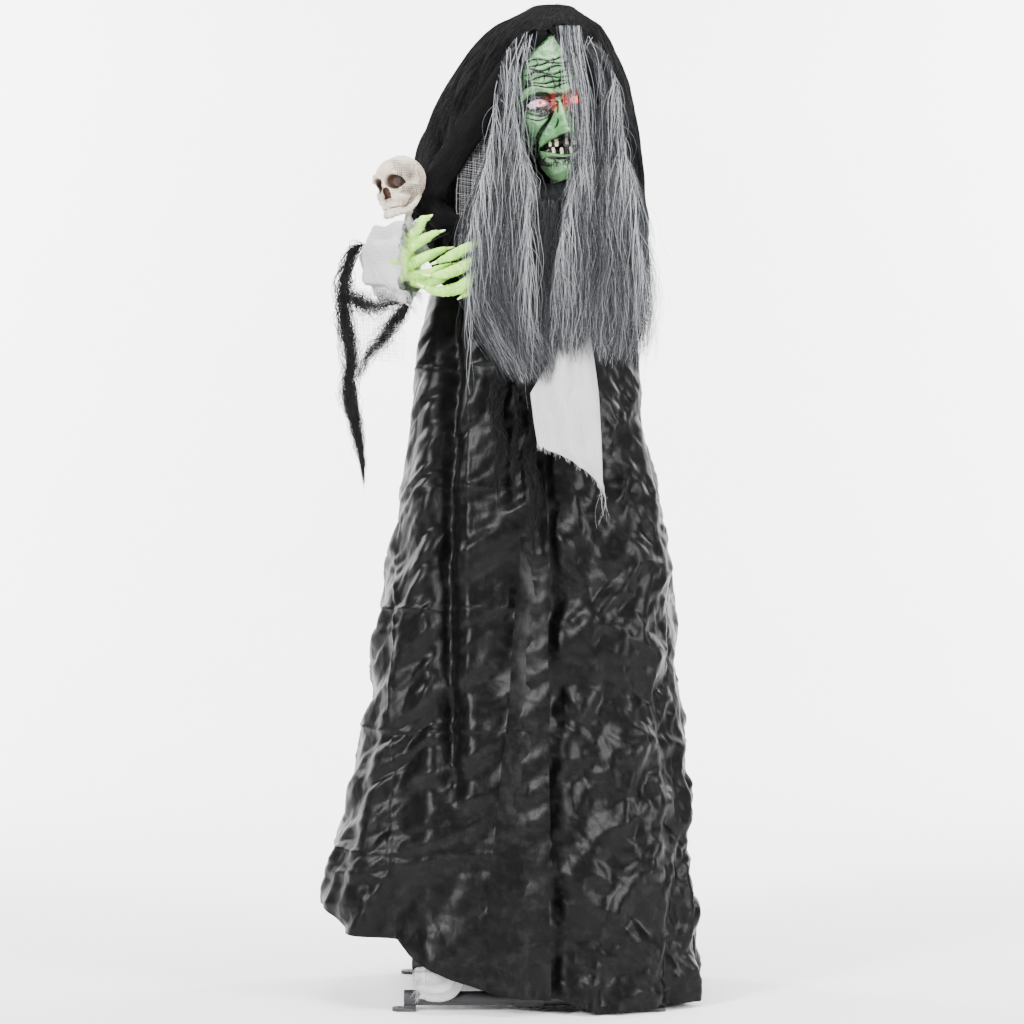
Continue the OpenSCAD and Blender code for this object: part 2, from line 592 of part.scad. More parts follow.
module gear_motor() color("#9a9da3") at_shoulder() difference() {
  union() {
    drill_z(pinion_x, head_y, shelf_z - 0.5 - motor_length, shelf_z - 0.5, motor_d / 2);
    drill_z(pinion_x, head_y, shelf_z - 0.6, shelf_z + shelf_thick - 1, 4.5);
    drill_z(pinion_x, head_y, shelf_z - motor_length - 4, shelf_z - motor_length, 5);
  }
  drill_z(pinion_x, head_y, shelf_z - 12, shelf_z + shelf_thick, 2 + running_fit / 2);
}

module neck_bushes() color("#e3e0d4") at_shoulder() for (b = [[shelf_z, shelf_thick], [case_top - 5, 8]])
  difference() {
    union() {
      drill_z(head_x, head_y, b[0], b[0] + b[1], bush_r - 0.1);
      drill_z(head_x, head_y, b[0] + b[1] + 0.2, b[0] + b[1] + 2, bush_r + 2);
      drill_z(head_x, head_y, b[0] + b[1] - 0.1, b[0] + b[1] + 0.3, bush_r - 0.1);
    }
    drill_z(head_x, head_y, b[0] - 1, b[0] + b[1] + 3, neck_fit_r);
  }

module control_board() color("#2d5a37") at_shoulder() union() {
  translate([case_x0 + 5, case_rear - case_wall - 8, case_bottom + 14]) cube([42, 1.6, 36]);
  for (c = [[8, 6, 12, 12], [26, 8, 8, 8], [10, 24, 18, 6]])
    translate([case_x0 + 5 + c[0], case_rear - case_wall - 11, case_bottom + 14 + c[1]]) cube([c[2], 3.1, c[3]]);
}

module battery_box() color("#232326") at_shoulder() difference() {
  translate([box_x0 + 0.4, case_rear - 1 - box_depth, box_z0 + 0.4])
    cube([box_width - 0.8, box_depth, box_height - 0.8]);
  translate([box_x0 + 2, case_rear + 1 - box_depth, box_z0 + 2]) cube([box_width - 4, box_depth, box_height - 4]);
}

module battery_cells() color("#b8862f") at_shoulder() for (k = [0:2])
  translate([box_x0 + 2.5 + (k + 0.5) * (cell_d + 1), case_rear - box_depth / 2, box_z0 + 3.5]) union() {
    cylinder(h = cell_length - 1.5, d = cell_d);
    cylinder(h = cell_length, d = 5.5);
  }

module battery_door() color("#2a2a2e") at_shoulder() union() {
  translate([door_x0, case_rear + slide_gap, case_bottom + 4]) cube([door_width, door_thick, box_height + 8]);
  for (k = [0:3]) translate([door_x0 + door_width / 2 - 10, case_rear + slide_gap + door_thick - eps,
      case_bottom + 14 + 3 * k]) cube([20, 1, 1.4]);
}

module power_switch() color("#c33a2c") at_shoulder() union() {
  translate([case_x1 - 5, switch_y - 2.5, switch_z - 2.5]) cube([8, 5, 5]);
  translate([case_x1 - case_wall - 2.5, switch_y - 5, switch_z - 5]) cube([2, 10, 10]);
}

// Involute gear of the given tooth count
pressure = 25;
function involute(rb, t) = [rb * (cos(t) + t * PI / 180 * sin(t)), rb * (sin(t) - t * PI / 180 * cos(t))];
function turn2(p, a) = [p[0] * cos(a) - p[1] * sin(a), p[0] * sin(a) + p[1] * cos(a)];
module gear_shape(teeth, phase) {
  rp = gear_module * teeth / 2;
  rb = rp * cos(pressure);
  ra = rp + 0.9 * gear_module;
  rf = rp - 1.25 * gear_module;
  inv_p = tan(pressure) * 180 / PI - pressure;
  half = 90 / teeth - tooth_backlash / rp * 90 / PI + inv_p;
  t_end = sqrt(ra * ra / (rb * rb) - 1) * 180 / PI;
  steps = 4;
  flank = [for (k = [0:steps]) turn2(involute(rb, t_end * k / steps), -half)];
  tooth = concat([[rf * cos(half), -rf * sin(half)]], flank,
    [for (k = [steps:-1:0]) [flank[k][0], -flank[k][1]]], [[rf * cos(half), rf * sin(half)]]);
  polygon([for (n = [0:teeth - 1]) for (p = tooth) turn2(p, 360 * (n + phase) / teeth)]);
}

module neck_gear() color("#ddd8c8") at_shoulder() translate([head_x, head_y, gear_z]) difference() {
  union() {
    linear_extrude(gear_width) gear_shape(neck_teeth, 0);
    translate([0, 0, gear_width - eps]) cylinder(h = 6, r = neck_d / 2 + 4);
  }
  translate([0, 0, -1]) cylinder(h = gear_width + 10, r = neck_d / 2 + 0.05);
}

module drive_pinion() color("#ddd8c8") at_shoulder() translate([pinion_x, head_y, gear_z]) union() {
  linear_extrude(gear_width) gear_shape(pinion_teeth, 0.5);
  translate([0, 0, -gear_z + shelf_z - 10]) cylinder(h = gear_z - shelf_z + 10 + eps, r = 2);
}

// ---------- head ----------
head_hub_z = eye_rise - 72;
module neck_shaft() color("#9a9da3") at_shoulder()
  drill_z(head_x, head_y, shelf_z - 4, head_hub_z + 14, neck_d / 2);

module head_bracket() color("#303034") at_shoulder() translate([head_x, head_y, head_hub_z]) difference() {
  union() {
    cylinder(h = 16, r = neck_d / 2 + 4);
    translate([0, 0, 0]) cylinder(h = 4, r = 26);
    translate([-face_half + 34, -7, 0]) cube([2 * face_half - 52, 14, 4]);
  }
  translate([0, 0, -1]) cylinder(h = 15.5, r = neck_d / 2 + 0.05);
}

// Half width and depth of the head, by height over the eyes
head_width = [[-139, -62], [-128, -49], [-100, -32], [-70, -19], [-40, -8], [0, 0], [50, 0], [90, -14],
  [115, -32], [130, -50]];
face_depth = [[-139, 44], [-128, 62], [-105, 70], [-70, 70], [-40, 68], [0, 66], [60, 68], [90, 60],
  [115, 44], [130, 26]];
back_depth = [[-90, 40], [-40, 72], [0, 88], [60, 92], [90, 80], [115, 58], [130, 30]];
chin_z = -139;
crown_z = 130;
eye_half = eye_spacing / 2;
mouth_z = -75;
nose_tip_z = -62;

module in_head() at_shoulder() translate([head_x, head_y, eye_rise])
  rotate([0, -head_lean, head_look]) children();

// Relief of the face: nose, brows, sunken eyes, cheekbones, lips and chin
function face_relief(x, z) =
  44 * bump(x, 10 + 5 * max(0, -z) / 60) * ease((z + 76) / 14) * ease((14 - z) / 62)
  + 7 * bump(z - 22, 9) * bump(abs(x) - 28, 26) - 9 * bump(z, 12) * bump(abs(x) - eye_half, 14)
  + 9 * bump(z + 34, 14) * bump(abs(x) - 44, 14) - 5 * bump(z + 62, 12) * bump(abs(x) - 40, 12)
  + 5 * bump(z - mouth_z, 22) * bump(x, 34) + 14 * bump(z + 124, 16) * bump(x, 17);

function face_point(a, z) = let (
    x = (face_half + lookup(z, head_width)) * arc_power(cos(a), 0.92),
    y = lookup(z, face_depth) * arc_power(sin(a), 0.92))
  [x, y - face_relief(x, z), z];

mask_rows = 26;
mask_columns = 26;
module mask_shell() color("#6fa06c") in_head() difference() {
  sheet([for (i = [0:mask_rows]) [for (j = [0:mask_columns])
        let (z = mix(crown_z, chin_z, i / mask_rows), tuck = 30 * ease((-95 - z) / 44))
        face_point(mix(182 + tuck, 358 - tuck, j / mask_columns), z)]], mask_wall);
  for (s = [-1, 1]) drill_y(s * eye_half, -110, -20, 0, eye_hole_d / 2);
  hull() for (s = [-1, 1]) drill_y(s * 20, -110, -20, mouth_z, 12);
}

module head_back() color("#4c4c50") in_head() sheet([for (i = [0:12])
    let (z = mix(crown_z, -90, i / 12)) [for (j = [0:20]) let (a = mix(3, 177, j / 20))
      [(face_half + lookup(z, head_width)) * cos(a), 3 + lookup(z, back_depth) * sin(a), z]]], mask_wall);

ball_y = -face_depth_at_eye() + mask_wall + 1 + eyeball_d / 2;
function face_depth_at_eye() = -face_point(acos(pow(eye_half / face_half, 1 / 0.92)) + 180, 0)[1] - 1;
module eyeballs() color("#e9e2ee") in_head() for (s = [-1, 1]) difference() {
  translate([s * eye_half, ball_y, 0]) sphere(d = eyeball_d);
  drill_y(s * eye_half, ball_y + 2, ball_y + eyeball_d, 0, 3);
}

module eye_lamps() color("#e0301f") in_head() for (s = [-1, 1]) union() {
  drill_y(s * eye_half, ball_y + 5, ball_y + eyeball_d / 2 + 4, 0, 2.5);
  drill_y(s * eye_half, ball_y + eyeball_d / 2 + 1, ball_y + eyeball_d / 2 + 4, 0, 5);
}

liner_y = -48;
module mouth_liner() color("#0d0d0e") in_head() translate([0, liner_y, mouth_z]) rotate([-90, 0, 0])
  scale([1, 0.55, 1]) cylinder(h = 3, r = 34);

module teeth() color("#efe6c8") in_head() for (t = [[-14, 8], [4, 9], [-20, -8], [2, -9], [20, -7]])
  translate([t[0] - 3, liner_y - 5.3, mouth_z + t[1] - 3.5]) cube([6, 5, 7]);

// Wig: a cap, with the hair that turns with the head
wig_gap = 4;
cap_profile = [[60, 0], [92, -12], [118, -32], [134, -52], [140, -66]];
module wig_cap() color("#26262a") in_head() sheet([for (i = [0:6])
    let (z = mix(140, 84, i / 6), w = face_half + lookup(z, cap_profile) + wig_gap)
    [for (j = [0:23]) let (a = 15 * j) [w * cos(a), (sin(a) > 0 ? w * 1.34 : w) * sin(a), z]]], 2, true);

hair_profile = [[51, 98], [160, 96], [260, 90], [300, 76], [326, 50], [338, 20]];
hair_rows = 14;
module hair_upper() color("#6d7075") at_shoulder() sheet([for (i = [0:hair_rows])
    let (z = mix(338, 51, pow(i / hair_rows, 1.5)), w = lookup(z, hair_profile))
    [for (j = [0:24]) let (a = mix(-58, 226, j / 24), k = 1 - 0.018 * (1 - cos(14 * a)) * ease((338 - z) / 150))
      [head_x - 6 + w * k * cos(a), head_y + 4 + (sin(a) > 0 ? 1.14 : 1.04) * w * k * sin(a), z]]], cloth);

// Hood: arches from the front rim to the back of the head
hood_top = shoulder_drop;
hood_rows = 14;
hood_columns = 22;
hood_mid = 42;
hood_left = 212;
hood_right = 141;
function hood_point(a, t) = let (
    y = mix(-104, 104, t) + (1 - t) * 44 * pow(abs(cos(a)), 1.5),
    k = sqrt(max(0.02, 1 - pow(max(0, t - 0.3) / 0.72, 2))),
    rise = (hood_top - split_high) * k * (t < 0.3 ? mix(0.96, 1, t / 0.3) : 1),
    w = (cos(a) < 0 ? hood_left : hood_right) * mix(1, k, 0.75))
  [stand_x + hood_mid * (1 - 0.4 * t) + w * cos(a), y, split_high + rise * sin(a)];
module hood_upper() color("#1c1c1f") at_shoulder() sheet([for (i = [0:hood_rows])
    [for (j = [0:hood_columns]) hood_point(180 * j / hood_columns, i / hood_rows)]], gauze);

// ---------- arms ----------
// The pivot eye's middle, and the point just below it where the round tube begins
eye_radius = pivot_d / 2 + 6;
arm_neck = 22;
function pivot_point(side) = [bracket_x(side), -boss_y - slide_gap - eye_thick / 2, 0];
function arm_start(side, elbow) = let (p = pivot_point(side), d = unit([elbow[0] - p[0], 0, elbow[2]]))
  p + arm_neck * d;
module arm_tube(side, elbow, wrist) {
  pivot = pivot_point(side);
  start = arm_start(side, elbow);
  difference() {
    union() {
      drill_y(pivot[0], eye_front, eye_front + eye_thick, 0, eye_radius);
      rod(pivot, start, eye_thick / 2 - 1);
      translate(start) sphere(r = arm_r + 1);
      rod(start, elbow, arm_r);
      translate(elbow) sphere(r = arm_r + 1);
      rod(elbow, wrist, arm_r);
    }
    drill_y(pivot[0], eye_front - 1, 0, 0, pivot_d / 2 + running_fit / 2);
  }
}

// One tapering finger with a claw, through a list of [x, y, z, radius]
module finger(points) lump(rings(spline(points, 3), 8, [0, 1, 0]));

module right_arm_tube() color("#1b1b1d") at_shoulder() arm_tube(-1, right_elbow, right_wrist);
module left_arm_tube() color("#1b1b1d") at_shoulder() arm_tube(1, left_elbow, left_wrist);

right_fingers = [
  [[-192, -206, -68, 9], [-178, -212, -52, 9], [-165, -214, -38, 7.5], [-158, -215, -25, 7], [-147, -216, -19, 4]],
  [[-200, -208, -84, 9], [-180, -214, -72, 9], [-158, -216, -59, 8], [-142, -216, -50, 6], [-129, -216, -45, 2]],
  [[-197, -208, -104, 9], [-172, -215, -98, 9], [-150, -217, -88, 8], [-131, -216, -80, 6], [-116, -216, -75, 2]],
  [[-190, -208, -120, 9], [-160, -215, -122, 9], [-140, -217, -116, 7.5], [-120, -216, -108, 6], [-106, -216, -103, 2]],
  [[-178, -206, -130, 8], [-150, -212, -136, 8], [-131, -215, -131, 6.5], [-114, -216, -122, 5], [-100, -216, -116, 2]]];
module right_hand() color("#b6dd8a") at_shoulder() difference() {
  union() {
    lump(rings(spline([[-214, -178, -92, 19], [-203, -192, -96, 22], [-192, -204, -100, 30],
          [-180, -211, -103, 24]], 3), 14, [0, 0, 1], 0.9));
    for (f = right_fingers) finger(f);
  }
  rod(right_elbow, right_wrist + unit(right_wrist - right_elbow), arm_r + 0.2);
}

left_fingers = [
  [[-40, -234, -72, 10], [-62, -235, -72, 10], [-91, -240, -82, 8.5], [-112, -240, -92, 7], [-130, -240, -99, 2]],
  [[-44, -237, -108, 11], [-66, -240, -127, 10.5], [-97, -241, -147, 9.5], [-134, -241, -151, 8], [-163, -240, -139, 2]],
  [[-40, -235, -122, 9], [-54, -237, -138, 9], [-70, -237, -150, 7], [-84, -237, -158, 2]]];
module left_hand() color("#b6dd8a") at_shoulder() difference() {
  union() {
    lump(rings(spline([[8, -226, -103, 17], [-10, -230, -103, 18], [-32, -233, -98, 30],
          [-52, -234, -95, 27]], 3), 14, [0, 1, 0], 0.38));
    for (f = left_fingers) finger(f);
  }
  rod(left_elbow, left_wrist + unit(left_wrist - left_elbow), arm_r + 0.2);
}

// Sleeve ends of light gauze cloth
cuff_room = 12;
module right_cuff() color("#cfcfd0") at_shoulder()
  sheet(rings(spline([[-238, -124, -88, arm_r + cuff_room], [-236, -150, -92, arm_r + 20], [-220, -178, -94, 37], [-180, -207, -98, 41]], 4),
      20, [0, 0, 1], 1.68), cloth, true);

module left_cuff() color("#e4e4e5") at_shoulder()
  sheet(rings(spline([[120, -214, -134, 26], [112, -232, -225, 26], [103, -238, -320, 50], [97, -238, -400, 63],
        [99, -238, -484, 42]], 4), 20, [0, 1, 0], 0.25), cloth, true);

// Black gauze that hangs from the right sleeve
rag_left = [[-492, -266], [-430, -275], [-330, -292], [-200, -296], [-150, -290], [-80, -292]];
rag_right = [[-492, -258], [-430, -255], [-330, -246], [-240, -222], [-180, -196], [-165, -190], [-80, -188]];
module right_rag() color("#151517") at_shoulder() sheet([for (i = [0:12])
    let (z = mix(-178, -492, i / 12), l = lookup(z, rag_left), r = lookup(z, rag_right))
    [for (j = [0:5]) [mix(l, r, j / 5), -176 - 4 * sin(60 * j) + 10 * (i / 12), z]]], cloth);

// ---------- skull ----------
module in_skull() at_shoulder() translate(skull_middle) rotate([6, -10, -36]) children();
module skull() color("#e6ddd0") in_skull() difference() {
  union() {
    translate([0, 4, 0]) sphere(r = skull_r);
    translate([0, -20, -10]) rotate([0, 0, 0]) sphere(r = 30);
    translate([0, -22, -42]) cylinder(h = 30, r1 = 23, r2 = 27);
    for (s = [-1, 1]) rod([s * 22, -34, -14], [s * 38, -2, -14], 5);
    for (s = [-1, 1]) drill_x(s * 37 - 10, s * 37 + 10, -2, -28, jaw_pin_r);
    for (k = [-4:4]) translate([23 * sin(k * 15), -22 - 23 * cos(k * 15), -46]) cylinder(h = 6, r = 2.8);
  }
  for (s = [-1, 1]) translate([s * 17, -46, -4]) sphere(r = 13);
  for (s = [-1, 1]) translate([s * 4, -50, -24]) rotate([-15, 0, s * 6]) cylinder(h = 14, r1 = 5, r2 = 2);
  translate([0, -22, -50]) cylinder(h = 26, r = 17);
  peg_bore(6.3);
}
jaw_pin_r = 2;
jaw_eye_x = 40;
module peg_bore(r) drill_z(0, 12, -46, -22, r);

module skull_jaw() color("#e6ddd0") in_skull() union() {
  difference() {
    translate([0, -22, -63]) cylinder(h = 14, r1 = 22, r2 = 25);
    translate([0, -22, -65]) cylinder(h = 18, r = 18);
    translate([-40, -14, -70]) cube([80, 40, 30]);
  }
  for (s = [-1, 1]) difference() {
    union() {
      rod([s * 20, -18, -56], [s * 44, -2, -31], 3.5);
      drill_x(s * (jaw_eye_x + 3) - 3, s * (jaw_eye_x + 3) + 3, -2, -28, jaw_pin_r + 3);
    }
    drill_x(s * (jaw_eye_x + 3) - 8, s * (jaw_eye_x + 3) + 8, -2, -28, jaw_pin_r + 0.3);
  }
  for (k = [-3:3]) translate([23 * sin(k * 16), -22 - 23 * cos(k * 16), -50]) cylinder(h = 3.2, r = 2.6);
}

// Bent rod that holds the skull on the upper arm
peg_r = 6;
clamp_share = 0.72;
function at_skull(p) = skull_middle + rot_z(rot_y(rot_x(p, 6), -10), -36);
function rot_x(p, a) = [p[0], p[1] * cos(a) - p[2] * sin(a), p[1] * sin(a) + p[2] * cos(a)];
function rot_y(p, a) = [p[0] * cos(a) + p[2] * sin(a), p[1], -p[0] * sin(a) + p[2] * cos(a)];
function rot_z(p, a) = [p[0] * cos(a) - p[1] * sin(a), p[0] * sin(a) + p[1] * cos(a), p[2]];
module skull_peg() color("#e6ddd0") at_shoulder() difference() {
  start = arm_start(-1, right_elbow);
  along = unit(right_elbow - start);
  clamp = mix(start, right_elbow, clamp_share);
  union() {
    rod(at_skull([0, 12, -24]), at_skull([0, 12, -56]), peg_r);
    translate(at_skull([0, 12, -56])) sphere(r = peg_r + 1);
    rod(at_skull([0, 12, -56]), clamp, peg_r);
    rod(clamp - 11 * along, clamp + 11 * along, arm_r + 4);
  }
  rod(clamp - 13 * along, clamp + 13 * along, arm_r + 0.2);
}

base_front_tube();
base_rear_tube();
base_spine_tube();
base_tees();
pole_socket();
foot_pads();
lower_pole();
upper_pole();
pole_collar();
pole_button();
hip_bar();
hip_clamp();
shoulder_tee();
shoulder_bar();
shoulder_brackets();
pivot_bolts();
frame_screws();
robe();
right_leg_cover();
left_leg_cover();
shawl();
net_panel();
hair_lower();
gauze_strips();
case_body();
case_front();
case_screws();
speaker();
gear_motor();
neck_bushes();
control_board();
battery_box();
battery_cells();
battery_door();
power_switch();
neck_gear();
drive_pinion();
neck_shaft();
head_bracket();
mask_shell();
head_back();
eyeballs();
eye_lamps();
mouth_liner();
teeth();
wig_cap();
hair_upper();
hood_upper();
right_arm_tube();
right_hand();
right_cuff();
right_rag();
left_arm_tube();
left_hand();
left_cuff();
skull();
skull_jaw();
skull_peg();
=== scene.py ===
import json
import math

import bpy
import numpy as np
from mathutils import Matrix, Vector

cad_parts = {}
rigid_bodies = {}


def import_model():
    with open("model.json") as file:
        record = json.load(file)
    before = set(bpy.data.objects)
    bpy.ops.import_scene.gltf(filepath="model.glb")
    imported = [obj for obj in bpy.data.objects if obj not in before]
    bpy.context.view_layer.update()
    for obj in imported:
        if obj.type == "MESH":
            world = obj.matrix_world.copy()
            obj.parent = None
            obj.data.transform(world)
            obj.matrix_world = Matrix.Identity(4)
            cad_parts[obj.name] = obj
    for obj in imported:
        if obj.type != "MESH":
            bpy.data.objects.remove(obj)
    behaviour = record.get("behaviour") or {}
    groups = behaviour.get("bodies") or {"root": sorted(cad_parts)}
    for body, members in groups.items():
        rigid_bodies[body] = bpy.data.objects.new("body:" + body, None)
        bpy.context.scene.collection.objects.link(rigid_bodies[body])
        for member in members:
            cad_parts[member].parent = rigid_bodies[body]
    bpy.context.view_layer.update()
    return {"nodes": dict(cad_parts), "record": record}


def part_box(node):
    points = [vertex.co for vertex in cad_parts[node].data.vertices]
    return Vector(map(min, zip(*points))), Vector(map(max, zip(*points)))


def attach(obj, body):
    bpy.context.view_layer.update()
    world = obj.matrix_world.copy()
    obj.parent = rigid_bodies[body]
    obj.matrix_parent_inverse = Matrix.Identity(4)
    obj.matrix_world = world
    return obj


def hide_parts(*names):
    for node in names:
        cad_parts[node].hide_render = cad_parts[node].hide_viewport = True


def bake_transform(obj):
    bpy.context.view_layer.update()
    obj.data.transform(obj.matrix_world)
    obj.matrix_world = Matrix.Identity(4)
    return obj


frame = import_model()
SCENE = bpy.context.scene
MM = 0.001


# ---------- camera and light ----------
def add_camera():
    data = bpy.data.cameras.new("camera")
    data.lens = 95.5
    data.sensor_width = 36.0
    camera = bpy.data.objects.new("camera", data)
    camera.location = (0.0, -5.0, 0.882)
    camera.rotation_euler = (math.radians(90), 0, 0)
    SCENE.collection.objects.link(camera)
    SCENE.camera = camera


def add_light(name, place, target, size, power, colour=(1, 1, 1)):
    data = bpy.data.lights.new(name, "AREA")
    data.shape = "RECTANGLE"
    data.size, data.size_y = size
    data.energy = power
    data.color = colour
    lamp = bpy.data.objects.new(name, data)
    lamp.location = place
    aim = Vector(target) - Vector(place)
    lamp.rotation_euler = aim.to_track_quat("-Z", "Y").to_euler()
    SCENE.collection.objects.link(lamp)
    return lamp


add_camera()


# ---------- number helpers ----------
def mix(a, b, t):
    return a + (b - a) * t


def ease(t):
    t = np.clip(t, 0, 1)
    return t * t * (3 - 2 * t)


def bump(distance, width):
    return np.exp(-((distance / width) ** 2))


def curve_at(table, x):
    """Straight-line interpolation through a short list of (x, y) pairs."""
    keys = np.array([p[0] for p in table], float)
    values = np.array([p[1] for p in table], float)
    return np.interp(x, keys, values)


def rounded(table, x, reach):
    """The same table with its corners rounded off over the given reach."""
    return sum(curve_at(table, x + k * reach / 3) for k in range(-3, 4)) / 7


def lattice(i, j, seed):
    """The same random number, 0 to 1, for the same lattice point and seed."""
    h = (i.astype(np.int64) * 374761393 + j.astype(np.int64) * 668265263 + seed * 974634777) & 0xFFFFFFFF
    h = ((h ^ (h >> 13)) * 1274126177) & 0xFFFFFFFF
    return ((h ^ (h >> 16)) & 0xFFFFFF) / float(0xFFFFFF)


def soft_noise(x, y, seed):
    """Smooth noise from -1 to 1."""
    i, j = np.floor(x), np.floor(y)
    u, v = ease(x - i), ease(y - j)
    low = mix(lattice(i, j, seed), lattice(i + 1, j, seed), u)
    high = mix(lattice(i, j + 1, seed), lattice(i + 1, j + 1, seed), u)
    return mix(low, high, v) * 2 - 1


def cloudy(x, y, seed, octaves=4):
    total, size = 0, 1.0
    for k in range(octaves):
        total = total + size * soft_noise(x * 2**k, y * 2**k, seed + 17 * k)
        size *= 0.5
    return total


def creased(x, y, seed, warp=0.45):
    """Flat facets that meet in sharp creases, like crushed paper, from -1 to 1."""
    x, y = (
        x + warp * soft_noise(x * 0.9, y * 0.9, seed + 5),
        y + warp * soft_noise(x * 0.9 + 40, y * 0.9, seed + 9),
    )
    skew = (x + y) * 0.3660254
    i, j = np.floor(x + skew), np.floor(y + skew)
    u, v = x + skew - i, y + skew - j
    corner, far = lattice(i, j, seed), lattice(i + 1, j + 1, seed)
    right, up = lattice(i + 1, j, seed), lattice(i, j + 1, seed)
    lower = corner * (1 - u) + right * (u - v) + far * v
    upper = corner * (1 - v) + up * (v - u) + far * u
    return np.where(u > v, lower, upper) * 2 - 1


def unit(v):
    return v / np.maximum(np.linalg.norm(v, axis=-1, keepdims=True), 1e-9)


def spline(points, steps):
    """Points along a smooth curve through the given ones, extra columns included."""
    p = np.array(points, float)
    n = len(p)
    out = []
    for i in range(n - 1):
        a, b, c, d = p[max(i - 1, 0)], p[i], p[i + 1], p[min(i + 2, n - 1)]
        for t in np.arange(steps) / steps:
            out.append(
                0.5 * (2 * b + (c - a) * t + (2 * a - 5 * b + 4 * c - d) * t**2
                + (3 * b - a - 3 * c + d) * t**3)
            )
    out.append(p[-1])
    return np.array(out)


# ---------- meshes ----------
def link(mesh_or_object, name=None):
    if isinstance(mesh_or_object, bpy.types.Mesh):
        mesh_or_object = bpy.data.objects.new(name or mesh_or_object.name, mesh_or_object)
    SCENE.collection.objects.link(mesh_or_object)
    return mesh_or_object


def fill_mesh(name, points, faces, smooth=True):
    mesh = bpy.data.meshes.new(name)
    points = np.ascontiguousarray(points, np.float32).reshape(-1, 3)
    faces = np.ascontiguousarray(faces, np.int32)
    mesh.vertices.add(len(points))
    mesh.vertices.foreach_set("co", points.ravel())
    sides = faces.shape[1]
    mesh.loops.add(faces.size)
    mesh.loops.foreach_set("vertex_index", faces.ravel())
    mesh.polygons.add(len(faces))
    mesh.polygons.foreach_set("loop_start", np.arange(0, faces.size, sides, dtype=np.int32))
    mesh.polygons.foreach_set("use_smooth", np.full(len(faces), smooth))
    mesh.update(calc_edges=True)
    mesh.validate()
    return mesh


def grid_faces(rows, columns, closed=False):
    last = columns if closed else columns - 1
    i, j = np.meshgrid(np.arange(rows - 1), np.arange(last), indexing="ij")
    a = i * columns + j
    b = i * columns + (j + 1) % columns
    return np.stack([a, a + columns, b + columns, b], -1).reshape(-1, 4)


def add_values(mesh, **values):
    """Stores named numbers on the mesh's points for its material to read."""
    for key, value in values.items():
        layer = mesh.attributes.get(key) or mesh.attributes.new(key, "FLOAT", "POINT")
        layer.data.foreach_set("value", np.ascontiguousarray(value, np.float32).ravel())


def points_of(mesh):
    co = np.zeros(len(mesh.vertices) * 3, np.float32)
    mesh.vertices.foreach_get("co", co)
    return co.reshape(-1, 3).astype(float)


def normals_of(mesh):
    co = np.zeros(len(mesh.vertices) * 3, np.float32)
    mesh.vertices.foreach_get("normal", co)
    return co.reshape(-1, 3).astype(float)


def move_points(mesh, points):
    mesh.vertices.foreach_set("co", np.ascontiguousarray(points, np.float32).ravel())
    mesh.update()


def grid_normals(grid):
    return unit(np.cross(np.gradient(grid, axis=0), np.gradient(grid, axis=1)))


def cloth_piece(name, grid, material, **values):
    """One sheet through a grid of points: rows run down, columns run anticlockwise seen from above."""
    rows, columns = grid.shape[:2]
    mesh = fill_mesh(name, grid, grid_faces(rows, columns))
    uv = mesh.uv_layers.new(name="cloth")
    steps = np.linalg.norm(np.diff(grid[rows // 2], axis=0), axis=-1)
    across = np.concatenate([[0], np.cumsum(steps)])
    drops = np.linalg.norm(np.diff(grid[:, columns // 2], axis=0), axis=-1)
    down = np.concatenate([[0], np.cumsum(drops)])
    flat = np.stack(np.broadcast_arrays(across[None, :], -down[:, None]), -1).reshape(-1, 2)
    index = np.zeros(len(mesh.loops), np.int32)
    mesh.loops.foreach_get("vertex_index", index)
    uv.data.foreach_set("uv", flat[index].astype(np.float32).ravel())
    add_values(mesh, **values)
    mesh.materials.append(material)
    return link(mesh)


def girth_and_drop(grid):
    """Greatest width and greatest length of a grid of cloth, and its area from the mean width and mean
    length, in metres.
    """
    width = np.linalg.norm(np.diff(grid, axis=1), axis=-1).sum(1)
    drop = np.linalg.norm(np.diff(grid, axis=0), axis=-1).sum(0)
    return float(width.max()), float(drop.max()), float(width.mean() * drop.mean())


def say_sheet(grid):
    """Works out a cloth piece's flat width, length and area; nothing is done with them. Say a
    cloth piece's flat size, with its area no less than the least share of the whole.
    """
    width, length, area = girth_and_drop(grid * MM)


def tube(points, radii, sides, flat=1.0, up=(0, 1, 0)):
    """Rings of points round a path, and faces with closed ends."""
    points = np.array(points, float)
    along = unit(np.gradient(points, axis=0))
    side = unit(np.cross(np.array(up, float), along))
    other = np.cross(along, side)
    turn = -2 * np.pi * np.arange(sides) / sides
    r = np.array(radii, float)[:, None, None]
    ring = (
        points[:, None]
        + r * np.cos(turn)[None, :, None] * side[:, None]
        + r * flat * np.sin(turn)[None, :, None] * other[:, None]
    )
    n = len(points)
    quads = grid_faces(n, sides, True)
    body = np.concatenate([ring.reshape(-1, 3), points[:1], points[-1:]])
    j = np.arange(sides)
    k = (j + 1) % sides
    start = np.stack([np.full(sides, n * sides), j, k, k], -1)
    end = np.stack([np.full(sides, n * sides + 1), (n - 1) * sides + k, (n - 1) * sides + j], -1)
    return body, quads, start[:, :3], end


